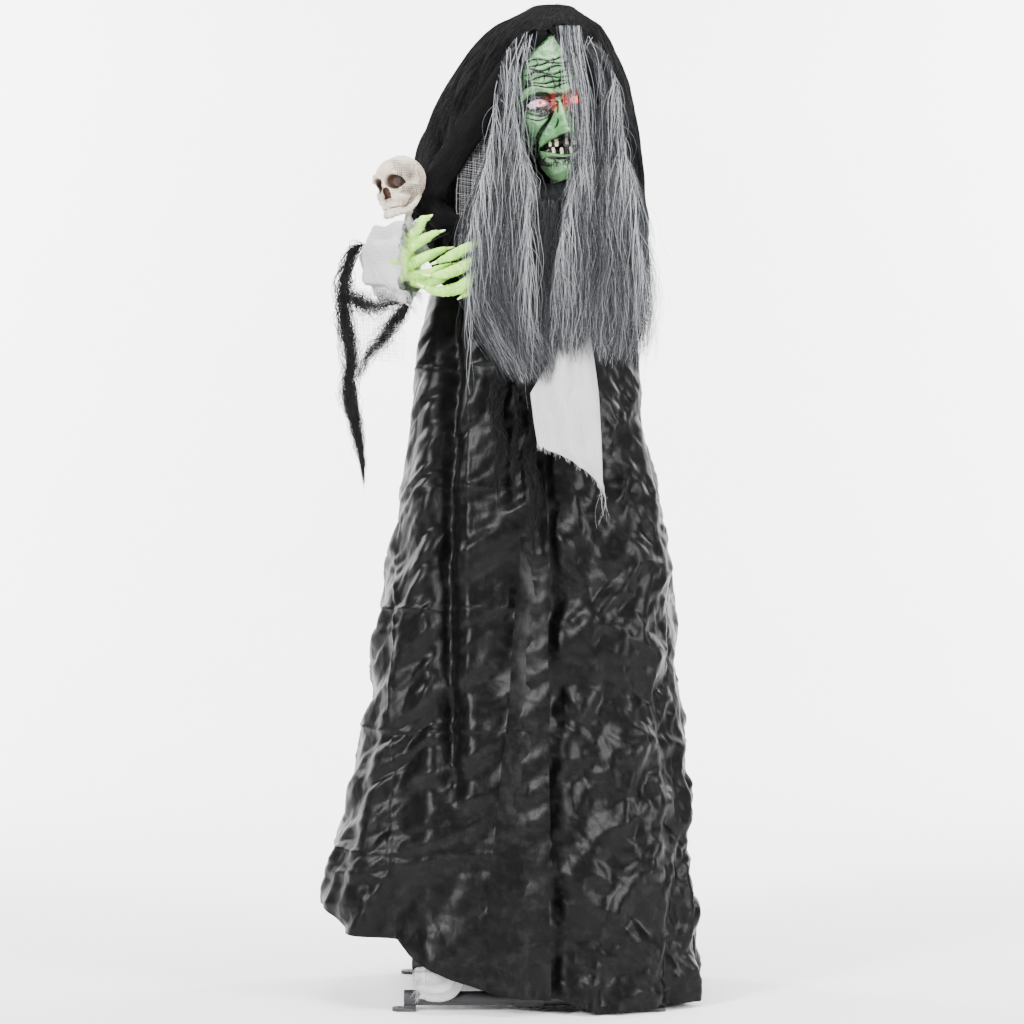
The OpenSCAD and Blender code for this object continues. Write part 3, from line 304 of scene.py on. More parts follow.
def soft_body(name, tubes, balls, voxel, smoothing=4):
    """One organic solid: tubes and balls run together, then smoothed."""
    points, triangles, base = [], [], 0
    for t in tubes:
        body, quads, start, end = tube(**t)
        points.append(body)
        split = np.concatenate([quads[:, [0, 1, 2]], quads[:, [0, 2, 3]]])
        triangles.append(np.concatenate([split, start, end]) + base)
        base += len(body)
    turn, lift = np.meshgrid(np.linspace(0, 2 * np.pi, 24, endpoint=False), np.linspace(0, np.pi, 14),
        indexing="xy")
    for centre, radius in balls:
        radius = np.array(radius, float) * np.ones(3)
        ball = np.stack([np.cos(turn) * np.sin(lift), np.sin(turn) * np.sin(lift), np.cos(lift)], -1)
        quads = grid_faces(14, 24, True)
        points.append((np.array(centre, float) + ball * radius).reshape(-1, 3))
        triangles.append(np.concatenate([quads[:, [0, 1, 2]], quads[:, [0, 2, 3]]]) + base)
        base += 14 * 24
    rough = link(fill_mesh(name + "_rough", np.concatenate(points), np.concatenate(triangles)))
    remesh = rough.modifiers.new("remesh", "REMESH")
    remesh.mode = "VOXEL"
    remesh.voxel_size = voxel * 1.0
    relax = rough.modifiers.new("relax", "SMOOTH")
    relax.iterations = smoothing
    relax.factor = 0.5
    mesh = taken_mesh(rough, name)
    for face in mesh.polygons:
        face.use_smooth = True
    return mesh


def taken_mesh(thing, name):
    """A plain mesh from an object with its modifiers worked in; the object goes."""
    bpy.context.view_layer.update()
    evaluated = thing.evaluated_get(bpy.context.evaluated_depsgraph_get())
    mesh = bpy.data.meshes.new_from_object(evaluated)
    mesh.name = name
    old = thing.data
    bpy.data.objects.remove(thing)
    bpy.data.meshes.remove(old)
    return mesh


# ---------- geometry nodes ----------
class Tree:
    """A geometry node tree built one node at a time."""

    def __init__(self, name, **numbers):
        self.tree = bpy.data.node_groups.new(name, "GeometryNodeTree")
        ports = self.tree.interface
        ports.new_socket("Geometry", in_out="INPUT", socket_type="NodeSocketGeometry")
        self.ids = {}
        for key, value in numbers.items():
            port = ports.new_socket(key, in_out="INPUT", socket_type="NodeSocketFloat")
            port.default_value = value
            self.ids[key] = port.identifier
        ports.new_socket("Geometry", in_out="OUTPUT", socket_type="NodeSocketGeometry")
        self.start = self.tree.nodes.new("NodeGroupInput")
        self.end = self.tree.nodes.new("NodeGroupOutput")

    def node(self, kind, settings=None, **inputs):
        made = self.tree.nodes.new(kind)
        for key, value in (settings or {}).items():
            setattr(made, key, value)
        for key, value in inputs.items():
            port = made.inputs[int(key[1:])] if key[0] == "n" and key[1:].isdigit() else made.inputs[
                key.replace("_", " ")]
            if isinstance(value, bpy.types.NodeSocket):
                self.tree.links.new(value, port)
            else:
                port.default_value = value
        return made

    def named(self, name, kind="FLOAT"):
        return self.node("GeometryNodeInputNamedAttribute", {"data_type": kind},
            Name=name).outputs["Attribute"]

    def finish(self, geometry, material):
        painted = self.node("GeometryNodeSetMaterial", Geometry=geometry, Material=material)
        whole = self.node("GeometryNodeRealizeInstances", Geometry=painted.outputs[0])
        self.tree.links.new(whole.outputs[0], self.end.inputs[0])


def run_tree(thing, tree, name, **numbers):
    """Runs a tree on an object and gives back the plain mesh object it makes."""
    modifier = thing.modifiers.new("tree", "NODES")
    modifier.node_group = tree.tree
    for key, value in numbers.items():
        modifier[tree.ids[key]] = float(value)
    mesh = taken_mesh(thing, name)
    for face in mesh.polygons:
        face.use_smooth = True
    return link(mesh)


def strand_tree(material, flat):
    """Turns lines into thin strands: flat ribbons facing the 'face' direction, or three-sided threads."""
    tree = Tree("strands", Width=0.0005, Frizz=0.0006)
    line = tree.node("GeometryNodeMeshToCurve", Mesh=tree.start.outputs["Geometry"])
    wobble = tree.node(
        "ShaderNodeTexNoise",
        {"noise_dimensions": "3D"},
        Scale=55.0,
        Detail=2.0,
        Vector=tree.node("GeometryNodeInputPosition").outputs[0],
    )
    centred = tree.node("ShaderNodeVectorMath", {"operation": "SUBTRACT"}, n0=wobble.outputs["Color"],
        n1=(0.5, 0.5, 0.5))
    push = tree.node("ShaderNodeVectorMath", {"operation": "SCALE"}, n0=centred.outputs[0],
        Scale=tree.start.outputs["Frizz"])
    moved = tree.node("GeometryNodeSetPosition", Geometry=line.outputs[0], Offset=push.outputs[0])
    wide = tree.node("ShaderNodeMath", {"operation": "MULTIPLY"}, n0=tree.named("thick"),
        n1=tree.start.outputs["Width"])
    if flat:
        turned = tree.node("GeometryNodeSetCurveNormal", {"mode": "FREE"}, Curve=moved.outputs[0],
            Normal=tree.named("face", "FLOAT_VECTOR"))
        profile = tree.node("GeometryNodeCurvePrimitiveLine", Start=(0.0, -1.0, 0.0), End=(0.0, 1.0, 0.0))
    else:
        turned = moved
        profile = tree.node("GeometryNodeCurvePrimitiveCircle", Resolution=3, Radius=1.0)
    solid = tree.node("GeometryNodeCurveToMesh", Curve=turned.outputs[0],
        Profile_Curve=profile.outputs[0], Scale=wide.outputs[0])
    tree.finish(solid.outputs[0], material)
    return tree


def line_mesh(name, paths, **values):
    """Lines through paths of equal length: paths is strands x steps x 3."""
    strands, steps = paths.shape[:2]
    mesh = bpy.data.meshes.new(name)
    mesh.vertices.add(strands * steps)
    mesh.vertices.foreach_set("co", np.ascontiguousarray(paths, np.float32).ravel())
    first = (np.arange(strands)[:, None] * steps + np.arange(steps - 1)[None, :]).ravel()
    mesh.edges.add(len(first))
    mesh.edges.foreach_set("vertices", np.stack([first, first + 1], -1).astype(np.int32).ravel())
    for key, value in values.items():
        value = np.ascontiguousarray(value, np.float32)
        if value.ndim == 3:
            mesh.attributes.new(key, "FLOAT_VECTOR", "POINT").data.foreach_set("vector", value.ravel())
        else:
            mesh.attributes.new(key, "FLOAT", "POINT").data.foreach_set("value", value.ravel())
    mesh.update()
    return link(mesh)


def strands(name, paths, material, width, frizz, flat=False, face=(0, -1, 0), thick=None, **values):
    """Many strands as one mesh piece."""
    count, steps = paths.shape[:2]
    if thick is None:
        taper = np.linspace(1, 0.35, steps)[None, :]
        thick = np.ones((count, 1)) * taper
    if flat:
        values["face"] = np.broadcast_to(np.array(face, float), paths.shape)
    lines = line_mesh(name + "_lines", paths, thick=thick, **values)
    return run_tree(lines, strand_tree(material, flat), name, Width=width, Frizz=frizz)


# ---------- materials ----------
class Value:
    """A shader socket that can be added, multiplied and so on."""

    def __init__(self, shader, socket):
        self.shader, self.socket = shader, socket

    def _math(self, operation, a, b):
        node = self.shader.tree.nodes.new("ShaderNodeMath")
        node.operation = operation
        for port, value in zip(node.inputs, (a, b)):
            self.shader.feed(port, value)
        return Value(self.shader, node.outputs[0])

    def __add__(self, other):
        return self._math("ADD", self, other)

    __radd__ = __add__

    def __mul__(self, other):
        return self._math("MULTIPLY", self, other)

    __rmul__ = __mul__

    def __sub__(self, other):
        return self._math("SUBTRACT", self, other)

    def __rsub__(self, other):
        return self._math("SUBTRACT", other, self)

    def __truediv__(self, other):
        return self._math("DIVIDE", self, other)

    def __pow__(self, other):
        return self._math("POWER", self, other)

    def at_most(self, other):
        return self._math("MINIMUM", self, other)

    def at_least(self, other):
        return self._math("MAXIMUM", self, other)

    def from_middle(self):
        """Distance from one half, so smooth noise meets in sharp creases."""
        return (self - 0.5).at_least(0.5 - self)

    def between(self, low, high):
        """0 below low, 1 above high, smooth between."""
        node = self.shader.node(
            "ShaderNodeMapRange", {"interpolation_type": "SMOOTHSTEP"}, Value=self, From_Min=low,
            From_Max=high
        )
        return Value(self.shader, node.outputs[0])


class Shader:
    """A material built from one Principled shader."""

    def __init__(self, name):
        self.material = bpy.data.materials.new(name)
        self.material.use_nodes = True
        self.tree = self.material.node_tree
        self.surface = self.tree.nodes["Principled BSDF"]
        self.place = self.node("ShaderNodeTexCoord").outputs["Object"]
        self.flat = self.node("ShaderNodeUVMap").outputs["UV"]

    def feed(self, port, value):
        if isinstance(value, Value):
            value = value.socket
        if isinstance(value, bpy.types.NodeSocket):
            self.tree.links.new(value, port)
        else:
            port.default_value = value

    def node(self, kind, settings=None, **inputs):
        made = self.tree.nodes.new(kind)
        for key, value in (settings or {}).items():
            setattr(made, key, value)
        for key, value in inputs.items():
            port = made.inputs[int(key[1:])] if key[0] == "n" and key[1:].isdigit() else made.inputs[
                key.replace("_", " ")]
            self.feed(port, value)
        return made

    def stored(self, name):
        return Value(self, self.node("ShaderNodeAttribute", {"attribute_name": name}).outputs["Fac"])

    def stretch(self, scale, where=None):
        """Coordinates multiplied by three numbers."""
        made = self.node("ShaderNodeVectorMath", {"operation": "MULTIPLY"}, n0=where or self.place, n1=scale)
        return made.outputs[0]

    def noise(self, scale, detail=3.0, rough=0.55, where=None):
        made = self.node("ShaderNodeTexNoise", Vector=where or self.place, Scale=scale, Detail=detail,
            Roughness=rough)
        return Value(self, made.outputs["Fac"])

    def cells(self, scale, where=None, feature="F1"):
        made = self.node("ShaderNodeTexVoronoi", {"feature": feature}, Vector=where or self.place,
            Scale=scale)
        return Value(self, made.outputs["Distance"])

    def wave(self, scale, where=None, direction="X", warp=0.0):
        made = self.node(
            "ShaderNodeTexWave",
            {"bands_direction": direction},
            Vector=where or self.place,
            Scale=scale,
            Distortion=warp,
            Detail=2.0,
        )
        return Value(self, made.outputs["Fac"])

    def blend(self, a, b, share):
        """Colour a to colour b by share."""
        made = self.node("ShaderNodeMix", {"data_type": "RGBA"}, Factor=share, n6=a, n7=b)
        return made.outputs[2]

    def set(self, name, value):
        self.feed(self.surface.inputs[name], value)

    def relief(self, height, distance, strength=1.0):
        made = self.node("ShaderNodeBump", Height=height, Distance=distance, Strength=strength)
        self.set("Normal", made.outputs["Normal"])


def rgb(r, g, b):
    return (r, g, b, 1.0)


def black_metal_material():
    s = Shader("black_coated_steel")
    wear = s.noise(90.0, 5.0, 0.7).between(0.62, 0.72)
    s.set("Base Color", s.blend(rgb(0.014, 0.014, 0.016), rgb(0.09, 0.085, 0.08), wear))
    s.set("Roughness", 0.38 + 0.25 * s.noise(300.0))
    s.relief(s.noise(700.0, 2.0), 0.0002, 0.5)
    return s.material


def plain_metal_material():
    s = Shader("zinc_plate")
    s.set("Metallic", 1.0)
    s.set("Base Color", s.blend(rgb(0.42, 0.42, 0.44), rgb(0.62, 0.61, 0.58), s.noise(160.0, 4.0)))
    s.set("Roughness", 0.28 + 0.25 * s.noise(240.0))
    s.relief(s.noise(900.0, 2.0), 0.0001, 0.4)
    return s.material


def moulded_material(name, colour, light, rough=0.5):
    s = Shader(name)
    s.set("Base Color", s.blend(colour, light, s.noise(60.0, 5.0, 0.65).between(0.35, 0.8)))
    s.set("Roughness", rough + 0.15 * s.noise(220.0))
    s.relief(s.cells(1400.0), 0.00015, 0.35)
    return s.material


def robe_material():
    s = Shader("black_nonwoven")
    fibres = s.noise(900.0, 3.0, 0.7, s.stretch((1.0, 1.0, 0.45)))
    dots = s.cells(1100.0)
    # painted highlight: the colour is lighter along sharp folds, where the crease value is high
    painted_crease_highlight = (s.stored("crease") * s.noise(60.0, 4.0).between(0.42, 0.7)).at_most(1.0)
    base = s.blend(rgb(0.0016, 0.0016, 0.0017), rgb(0.0040, 0.0040, 0.0043), s.noise(14.0, 4.0))
    s.set("Base Color", s.blend(base, rgb(0.014, 0.014, 0.0145), painted_crease_highlight * 0.5))
    s.set("Roughness", 0.31 + 0.10 * s.noise(120.0, 3.0))
    s.set("Specular IOR Level", 0.11)
    crush = s.stretch((1.0, 1.0, 0.62))
    ridges = [(9.0, 0.7), (21.0, 0.35), (52.0, 0.10)]
    crumple = sum((s.noise(scale, 1.0, 0.4, crush).from_middle() * size for scale, size in ridges), 0.0)
    texture = fibres * 0.5 + dots * 0.35 + s.noise(200.0, 4.0) * 0.9
    s.relief(crumple + texture * 0.02, 0.010, 1.0)
    return s.material


def gauze_material(name, dark, light, rough=0.95):
    """Loose black gauze: streaks that run down the cloth, with a fuzzy surface."""
    s = Shader(name)
    long = s.noise(1.0, 6.0, 0.7, s.stretch((170.0, 28.0, 1.0), s.flat))
    fuzz = s.noise(420.0, 4.0, 0.75)
    s.set("Base Color", s.blend(dark, light, (long * 0.7 + fuzz * 0.4).between(0.42, 0.78)))
    s.set("Roughness", rough)
    s.set("Specular IOR Level", 0.12)
    s.relief(long * 0.9 + fuzz * 0.7 + s.wave(260.0, s.flat, "X", 3.0) * 0.25, 0.007, 1.0)
    return s.material


def woven_material(name, dark, light, threads=620.0):
    """Fine open weave with a visible grid of threads."""
    s = Shader(name)
    warp = s.wave(threads / 6.28, s.flat, "X", 0.6)
    weft = s.wave(threads / 6.28, s.flat, "Y", 0.6)
    weave = warp.at_least(weft)
    blotch = s.noise(18.0, 4.0)
    s.set("Base Color",
        s.blend(dark, light, (weave * 0.55 + blotch * 0.3 + s.noise(300.0) * 0.3).between(0.25, 0.95)))
    s.set("Roughness", 0.9)
    s.set("Specular IOR Level", 0.2)
    s.relief(weave * 0.7 + s.noise(260.0, 4.0) * 0.5, 0.0007, 0.7)
    return s.material


def thread_material(name, dark, light):
    s = Shader(name)
    tone = s.stored("tone")
    s.set("Base Color", s.blend(dark, light, (tone * 0.7 + s.noise(300.0) * 0.4).between(0.2, 0.9)))
    s.set("Roughness", 0.9)
    s.set("Specular IOR Level", 0.2)
    s.relief(s.noise(2500.0), 0.0002, 0.4)
    return s.material


def hair_material():
    s = Shader("grey_wig_fibre")
    tone = s.stored("tone")
    streak = s.noise(1.0, 3.0, 0.6, s.stretch((420.0, 420.0, 6.0)))
    both = (tone * 0.85 + streak * 0.3).between(0.12, 1.05)
    dull = s.blend(rgb(0.005, 0.0055, 0.0065), rgb(0.062, 0.065, 0.071), both.between(0.0, 0.62))
    s.set("Base Color", s.blend(dull, rgb(0.40, 0.41, 0.43), both.between(0.55, 1.0)))
    s.set("Roughness", 0.46)
    s.set("Specular IOR Level", 0.22)
    s.relief(streak, 0.0006, 0.5)
    return s.material


def mask_material():
    s = Shader("painted_green_mask")
    wash, light = s.stored("wash"), s.stored("light")
    pores = s.cells(700.0)
    mottled = s.noise(60.0, 5.0, 0.65)
    skin = s.blend(rgb(0.050, 0.155, 0.050), rgb(0.105, 0.27, 0.105), mottled.between(0.3, 0.72))
    # painted highlight: lighter green where the light mask marks the raised cheekbones, nose ridge, chin,
    # brow and forehead
    skin = s.blend(skin, rgb(0.21, 0.42, 0.20), light * mottled.between(0.25, 0.6))
    inked = (wash + (s.noise(170.0, 4.0, 0.7) - 0.5) * 0.7).between(0.2, 0.5)
    skin = s.blend(skin, rgb(0.002, 0.003, 0.002), inked * 0.98)
    # painted light: red colour on the sides of the nose and round the inner eye corners stands for red light
    # spilled from the lit eyes
    red = s.stored("red") * s.noise(240.0, 3.0).between(0.4, 0.6)
    s.set("Base Color", s.blend(skin, rgb(0.36, 0.012, 0.008), red))
    # painted light: the mask skin itself glows red round the lit eye, as light spilled from the eye lamp
    s.set("Emission Color", s.blend(rgb(0, 0, 0), rgb(1.0, 0.05, 0.02), s.stored("glow")))
    s.set("Emission Strength", 1.6)
    s.set("Roughness", (0.3 + 0.22 * s.noise(90.0)) - inked * 0.12)
    s.set("Coat Weight", 0.25)
    s.relief(pores * 0.35 + s.noise(330.0, 4.0) * 0.8 - inked * 0.3, 0.0012, 0.6)
    return s.material


def eye_material():
    s = Shader("painted_eye")
    x, z = s.stored("across"), s.stored("upward")
    away = (x * x + z * z) ** 0.5
    angle = z._math("ARCTAN2", z, x)
    ray = s.node("ShaderNodeTexNoise", {"noise_dimensions": "1D"}, W=angle * 5.0, Scale=4.0, Detail=2.0)
    veins = (
        Value(s, ray.outputs["Fac"]).between(0.52, 0.62) * away.between(3.0, 7.0)
        * (1 - away.between(12.0, 20.0) * 0.6)
    )
    white = s.blend(rgb(0.80, 0.74, 0.88), rgb(0.62, 0.50, 0.70), s.noise(200.0))
    white = s.blend(white, rgb(0.62, 0.03, 0.05), veins * 0.75)
    iris = 1 - away.between(2.6, 4.2)
    s.set("Base Color", s.blend(white, rgb(0.75, 0.01, 0.01), iris))
    glow = (1 - away.between(3.0, 15.0)) * s.stored("lit")
    s.set("Emission Color",
        s.blend(rgb(0, 0, 0), s.blend(rgb(1.0, 0.02, 0.01), rgb(1.0, 0.22, 0.05), iris), glow))
    s.set("Emission Strength", 5.0)
    s.set("Roughness", 0.12)
    s.set("Coat Weight", 0.8)
    s.relief(s.noise(260.0), 0.0002, 0.2)
    return s.material


def hand_material():
    s = Shader("pale_green_latex")
    crease, nail = s.stored("crease"), s.stored("nail")
    skin = s.blend(rgb(0.26, 0.56, 0.060), rgb(0.42, 0.76, 0.125), s.noise(70.0, 5.0, 0.6).between(0.3, 0.7))
    skin = s.blend(skin, rgb(0.085, 0.24, 0.022), crease * 0.8)
    s.set("Base Color", s.blend(skin, rgb(0.62, 0.82, 0.33), nail))
    s.set("Roughness", (0.55 + 0.15 * s.noise(200.0)) - nail * 0.25)
    s.relief(s.cells(900.0) * 0.3 + s.noise(260.0, 5.0, 0.65), 0.0009, 0.55)
    return s.material


def bone_material():
    s = Shader("washed_bone")
    wash = (s.stored("wash") + (s.noise(110.0, 5.0, 0.7) - 0.5) * 0.55).between(0.18, 0.75)
    bone = s.blend(rgb(0.40, 0.32, 0.24), rgb(0.62, 0.55, 0.46), s.noise(40.0, 5.0).between(0.3, 0.7))
    s.set("Base Color", s.blend(bone, rgb(0.045, 0.020, 0.010), wash))
    s.set("Roughness", 0.42 + 0.2 * s.noise(150.0))
    s.relief(s.noise(220.0, 5.0, 0.7) - wash * 0.3, 0.0011, 0.55)
    return s.material


def tooth_material():
    s = Shader("yellowed_tooth")
    s.set("Base Color", s.blend(rgb(0.62, 0.52, 0.30), rgb(0.86, 0.80, 0.62), s.noise(260.0, 3.0)))
    s.set("Roughness", 0.22)
    s.set("Coat Weight", 0.5)
    s.relief(s.noise(500.0), 0.0004, 0.4)
    return s.material


def lamp_material():
    s = Shader("red_lamp")
    s.set("Base Color", s.blend(rgb(0.5, 0.01, 0.01), rgb(0.8, 0.03, 0.02), s.noise(300.0)))
    s.set("Emission Color", s.blend(rgb(1.0, 0.03, 0.02), rgb(1.0, 0.12, 0.04), s.noise(200.0)))
    s.set("Emission Strength", 4.0)
    s.set("Roughness", 0.15)
    return s.material


def dress_plain_parts():
    """Materials for the pieces kept from the solid model."""
    steel, zinc = black_metal_material(), plain_metal_material()
    fitting = moulded_material("black_fitting", rgb(0.014, 0.014, 0.016), rgb(0.04, 0.04, 0.043))
    case = moulded_material("case_plastic", rgb(0.018, 0.018, 0.02), rgb(0.05, 0.05, 0.055), 0.45)
    shell = moulded_material("head_plastic", rgb(0.03, 0.03, 0.033), rgb(0.075, 0.075, 0.08), 0.5)
    gear = moulded_material("gear_plastic", rgb(0.58, 0.55, 0.44), rgb(0.74, 0.71, 0.6), 0.4)
    board = moulded_material("circuit_board", rgb(0.012, 0.09, 0.025), rgb(0.04, 0.17, 0.06), 0.35)
    cell = moulded_material("cell_wrap", rgb(0.35, 0.17, 0.02), rgb(0.55, 0.32, 0.06), 0.25)
    grille = moulded_material("speaker_black", rgb(0.006, 0.006, 0.006), rgb(0.03, 0.03, 0.03), 0.6)
    red = moulded_material("switch_red", rgb(0.45, 0.02, 0.015), rgb(0.6, 0.05, 0.035), 0.4)
    looks = {
        "black_steel": steel, "plain_steel": zinc, "fitting": fitting, "case": case, "head_shell": shell,
        "gear": gear, "board": board, "cell": cell, "mouth": grille, "switch_red": red,
        "eye_lamp": lamp_material(),
        "black_gauze": BLACK_GAUZE, "bone": BONE,
    }
    for part in frame["record"]["subparts"]:
        name, slot = part["node"], part["material_slot"]
        for thing in CAD_NODES.get(name, []):
            thing.data.materials.clear()
            thing.data.materials.append(looks.get(slot, fitting))


# ---------- where things are ----------
def box_mm(node):
    low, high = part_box(node)
    return np.array(low) / MM, np.array(high) / MM


JOINTS = {j["name"]: j for j in frame["record"]["behaviour"]["joints"]}
NECK = np.array(JOINTS["head_turn"]["pos_m"]) / MM
SHOULDER_Z = NECK[2]
EYES_LOW, EYES_HIGH = box_mm("eyeballs")
EYES = (EYES_LOW + EYES_HIGH) / 2
HEAD_LEAN, HEAD_LOOK = math.radians(7), math.radians(8)
EYE_Z = EYES[2] + 7


def head_place(p):
    """From the mask's own millimetres (x to the figure's left, z up from the eyes) to the figure's."""
    x, y, z = p[..., 0], p[..., 1], p[..., 2]
    c, s = math.cos(-HEAD_LEAN), math.sin(-HEAD_LEAN)
    x, z = x * c + z * s, -x * s + z * c
    c, s = math.cos(HEAD_LOOK), math.sin(HEAD_LOOK)
    x, y = x * c - y * s, x * s + y * c
    return np.stack([x + NECK[0], y + NECK[1], z + EYE_Z], -1)


def signed_power(c, p):
    return np.sign(c) * np.abs(c) ** p


ROBE = robe_material()
BLACK_GAUZE = gauze_material("black_gauze", rgb(0.0020, 0.0020, 0.0022), rgb(0.034, 0.034, 0.036))
# painted shade: a darker copy of the hood gauze for the roll of cloth inside the hood
INNER_GAUZE_PAINTED_SHADE = gauze_material("black_gauze_painted_shade", rgb(0.002, 0.002, 0.0023), rgb(0.008, 0.008, 0.009))
PALE_GAUZE = woven_material("grey_gauze", rgb(0.20, 0.20, 0.207), rgb(0.56, 0.56, 0.57))
PALE_THREAD = thread_material("grey_thread", rgb(0.30, 0.30, 0.31), rgb(0.62, 0.62, 0.63))
NET_THREAD = thread_material("net_thread", rgb(0.18, 0.18, 0.19), rgb(0.42, 0.42, 0.44))
BLACK_THREAD = thread_material("black_thread", rgb(0.002, 0.002, 0.0022), rgb(0.014, 0.014, 0.015))
HAIR = hair_material()
# painted shade: very dark sheets behind the hair and on the back of the head stand in for the shaded depth of
# the wig
HAIR_BASE = gauze_material("dark_hair_sheet_painted_shade", rgb(0.003, 0.0033, 0.004), rgb(0.030, 0.032, 0.036), 0.7)
MASK = mask_material()
EYE = eye_material()
HAND = hand_material()
BONE = bone_material()
TOOTH = tooth_material()


# ---------- robe ----------
ROBE_LOW, ROBE_HIGH = box_mm("robe")
ROBE_LEFT_IN = [(0, 210), (94, 188), (262, 164), (374, 143), (486, 127), (589, 103), (737, 86), (875, 50),
    (1013, 18),
                (1100, 2), (1280, 0)]
ROBE_RIGHT_IN = [(0, 118), (63, 114), (173, 106), (282, 98), (346, 86), (470, 62), (553, 50), (674, 48),
    (737, 40),
                 (854, 28), (946, 14), (1050, 8), (1150, 0), (1280, 0)]
ROBE_FRONT_IN = [(0, 125), (180, 104), (380, 80), (680, 52), (980, 20), (1180, 5), (1280, 0)]
HEM_BY_X = [(-355, 175), (-308, 136), (-246, 131), (-219, 130), (-186, 101), (-163, 89), (-110, 63),
    (-63, 48),
            (-26, 39), (24, 29), (84, 30), (106, 22), (141, 9), (187, 4.5), (243, 5.5), (294, 9), (355, 11)]


ROBE_DROP = 1274  # the drop over which the edge tables above are drawn, in millimetres


def robe_surface(angle, t):
    """Points on the robe, with the angle in degrees anticlockwise from the figure's left."""
    a = np.radians(angle)
    c, s = np.cos(a), np.sin(a)
    front_hem = curve_at(HEM_BY_X, 360 * signed_power(c, 0.62))
    hem = np.where(s < 0, front_hem, front_hem * mix(1.0, 0.86, s) + 14 * s)
    low_z, high_z = ROBE_LOW[2], ROBE_HIGH[2]
    top = high_z - 22 + 20 * (1 + c) / 2
    z = mix(top, np.maximum(hem, low_z), t)
    drop = (high_z - z) * ROBE_DROP / (high_z - low_z)
    left = ROBE_LOW[0] + curve_at(ROBE_LEFT_IN, drop)
    right = ROBE_HIGH[0] - curve_at(ROBE_RIGHT_IN, drop)
    deep = (ROBE_HIGH[1] - ROBE_LOW[1]) / 2 - curve_at(ROBE_FRONT_IN, drop)
    p = mix(0.86, 0.62, ease(t))
    x = (left + right) / 2 + (right - left) / 2 * signed_power(c, p)
    y = -5 * (1 - t) + deep * signed_power(s, p)
    return np.stack([x, y, z], -1)


def robe_push(x, y, z, angle, round_mm, t):
    """How far the cloth stands in or out of the plain robe, in millimetres."""
    front = (y < 0) * 1.0
    flare = ease(t * 1.25)
    big = (
        -13 * flare * (0.5
        + 0.5 * np.cos(np.radians(angle * 9 + 40 * soft_noise(angle / 60, z / 500, 3) * 2)))
    )
    big = big - 9 * flare * (0.5 + 0.5 * soft_noise(round_mm / 95, z / 900, 11))
    valley_x = -114 + 8 * np.sin(z / 170)
    valley = -27 * bump(x - valley_x, 19) * ease((z - 330) / 120) * front
    ridge = (
        8 * bump(x - valley_x - 44, 24) * front * ease((z - 330) / 120)
        + 6 * bump(x - valley_x + 42, 22) * front
    )
    crumple_zone = mix(0.55, 1.0, np.where(front > 0, ease((x + 20) / 60), 0.8)) * mix(0.6, 1.0, flare)
    skew = round_mm + 0.55 * z
    lean = round_mm - 0.8 * z
    crumple = 20 * creased(round_mm / 96, z / 250, 21) + 15 * creased(skew / 88, lean / 130, 33)
    crumple = crumple + 9.5 * creased(lean / 52, skew / 80, 39) + 5.0 * creased(round_mm / 30, z / 40, 47)
    crumple = crumple + 2.0 * creased(skew / 15, z / 20, 53)
    pinch = ease((-x - 95) / 60) * bump(z - 235, 75) * front
    crumple = crumple + 6 * pinch * creased(round_mm / 130, z / 24, 61)
    packing = 3.2 * (bump((z + 40) % 215 - 107, 3.0) + bump((x + 300) % 148 - 74, 3.0)) * front
    packing = packing * (x < 10) * (0.4 + 0.6 * lattice(np.floor(x / 148), np.floor(z / 215), 8))
    waves = 7 * ease((t - 0.8) / 0.2) * np.sin(round_mm / 21 + 2.2 * soft_noise(round_mm / 120, 0 * z, 77))
    return (
        big + valley + ridge + crumple * crumple_zone * ease(t * 9 + 0.25) - 9 * crumple_zone + packing
        + waves
    )


def make_robe():
    rows, columns = ((330, 300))
    front_edge = 268.0
    angle = np.linspace(front_edge, front_edge + 366.0, columns)[None, :]
    t = np.linspace(0, 1, rows)[:, None]
    angle, t = np.broadcast_arrays(angle, t)
    plain = robe_surface(angle, t)
    x, y, z = plain[..., 0], plain[..., 1], plain[..., 2]
    step = np.linalg.norm(np.diff(plain[..., :2], axis=1), axis=-1)
    round_mm = np.concatenate([np.zeros((rows, 1)), np.cumsum(step, axis=1)], 1)
    outward = grid_normals(plain)
    push = robe_push(x, y, z, angle, round_mm, t)
    turn = angle - front_edge
    close = ease(turn / 7) * ease((366 - turn) / 7)
    push = push * mix(0.25, 1, close)
    push = push + mix(-1.5, 0, ease(turn / 8)) + 5.5 * ease((turn - 356) / 7)
    points = plain + outward * push[..., None]
    points = held_in(points, ROBE_LOW - 14, ROBE_HIGH + 14)
    points[..., 2] = np.maximum(points[..., 2], 2.0)
    # crease marks sharp folds; the robe material paints a lighter colour there as a painted highlight
    crease = np.abs(push - smoothed(push, 2)) / 0.8
    thing = cloth_piece("robe_cloth", points * MM, ROBE, crease=np.clip(crease, 0, 1))
    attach(thing, "stand")
    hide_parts("robe")
    say_sheet(plain[::6, ::6])
    return thing


def smoothed(values, size):
    out = values.copy()
    for _ in range(size):
        padded = np.pad(out, 1, mode="edge")
        out = (padded[:-2, 1:-1] + padded[2:, 1:-1] + padded[1:-1, :-2] + padded[1:-1, 2:] + out) / 5
    return out


def held_in(points, low, high):
    return np.clip(points, low, high)


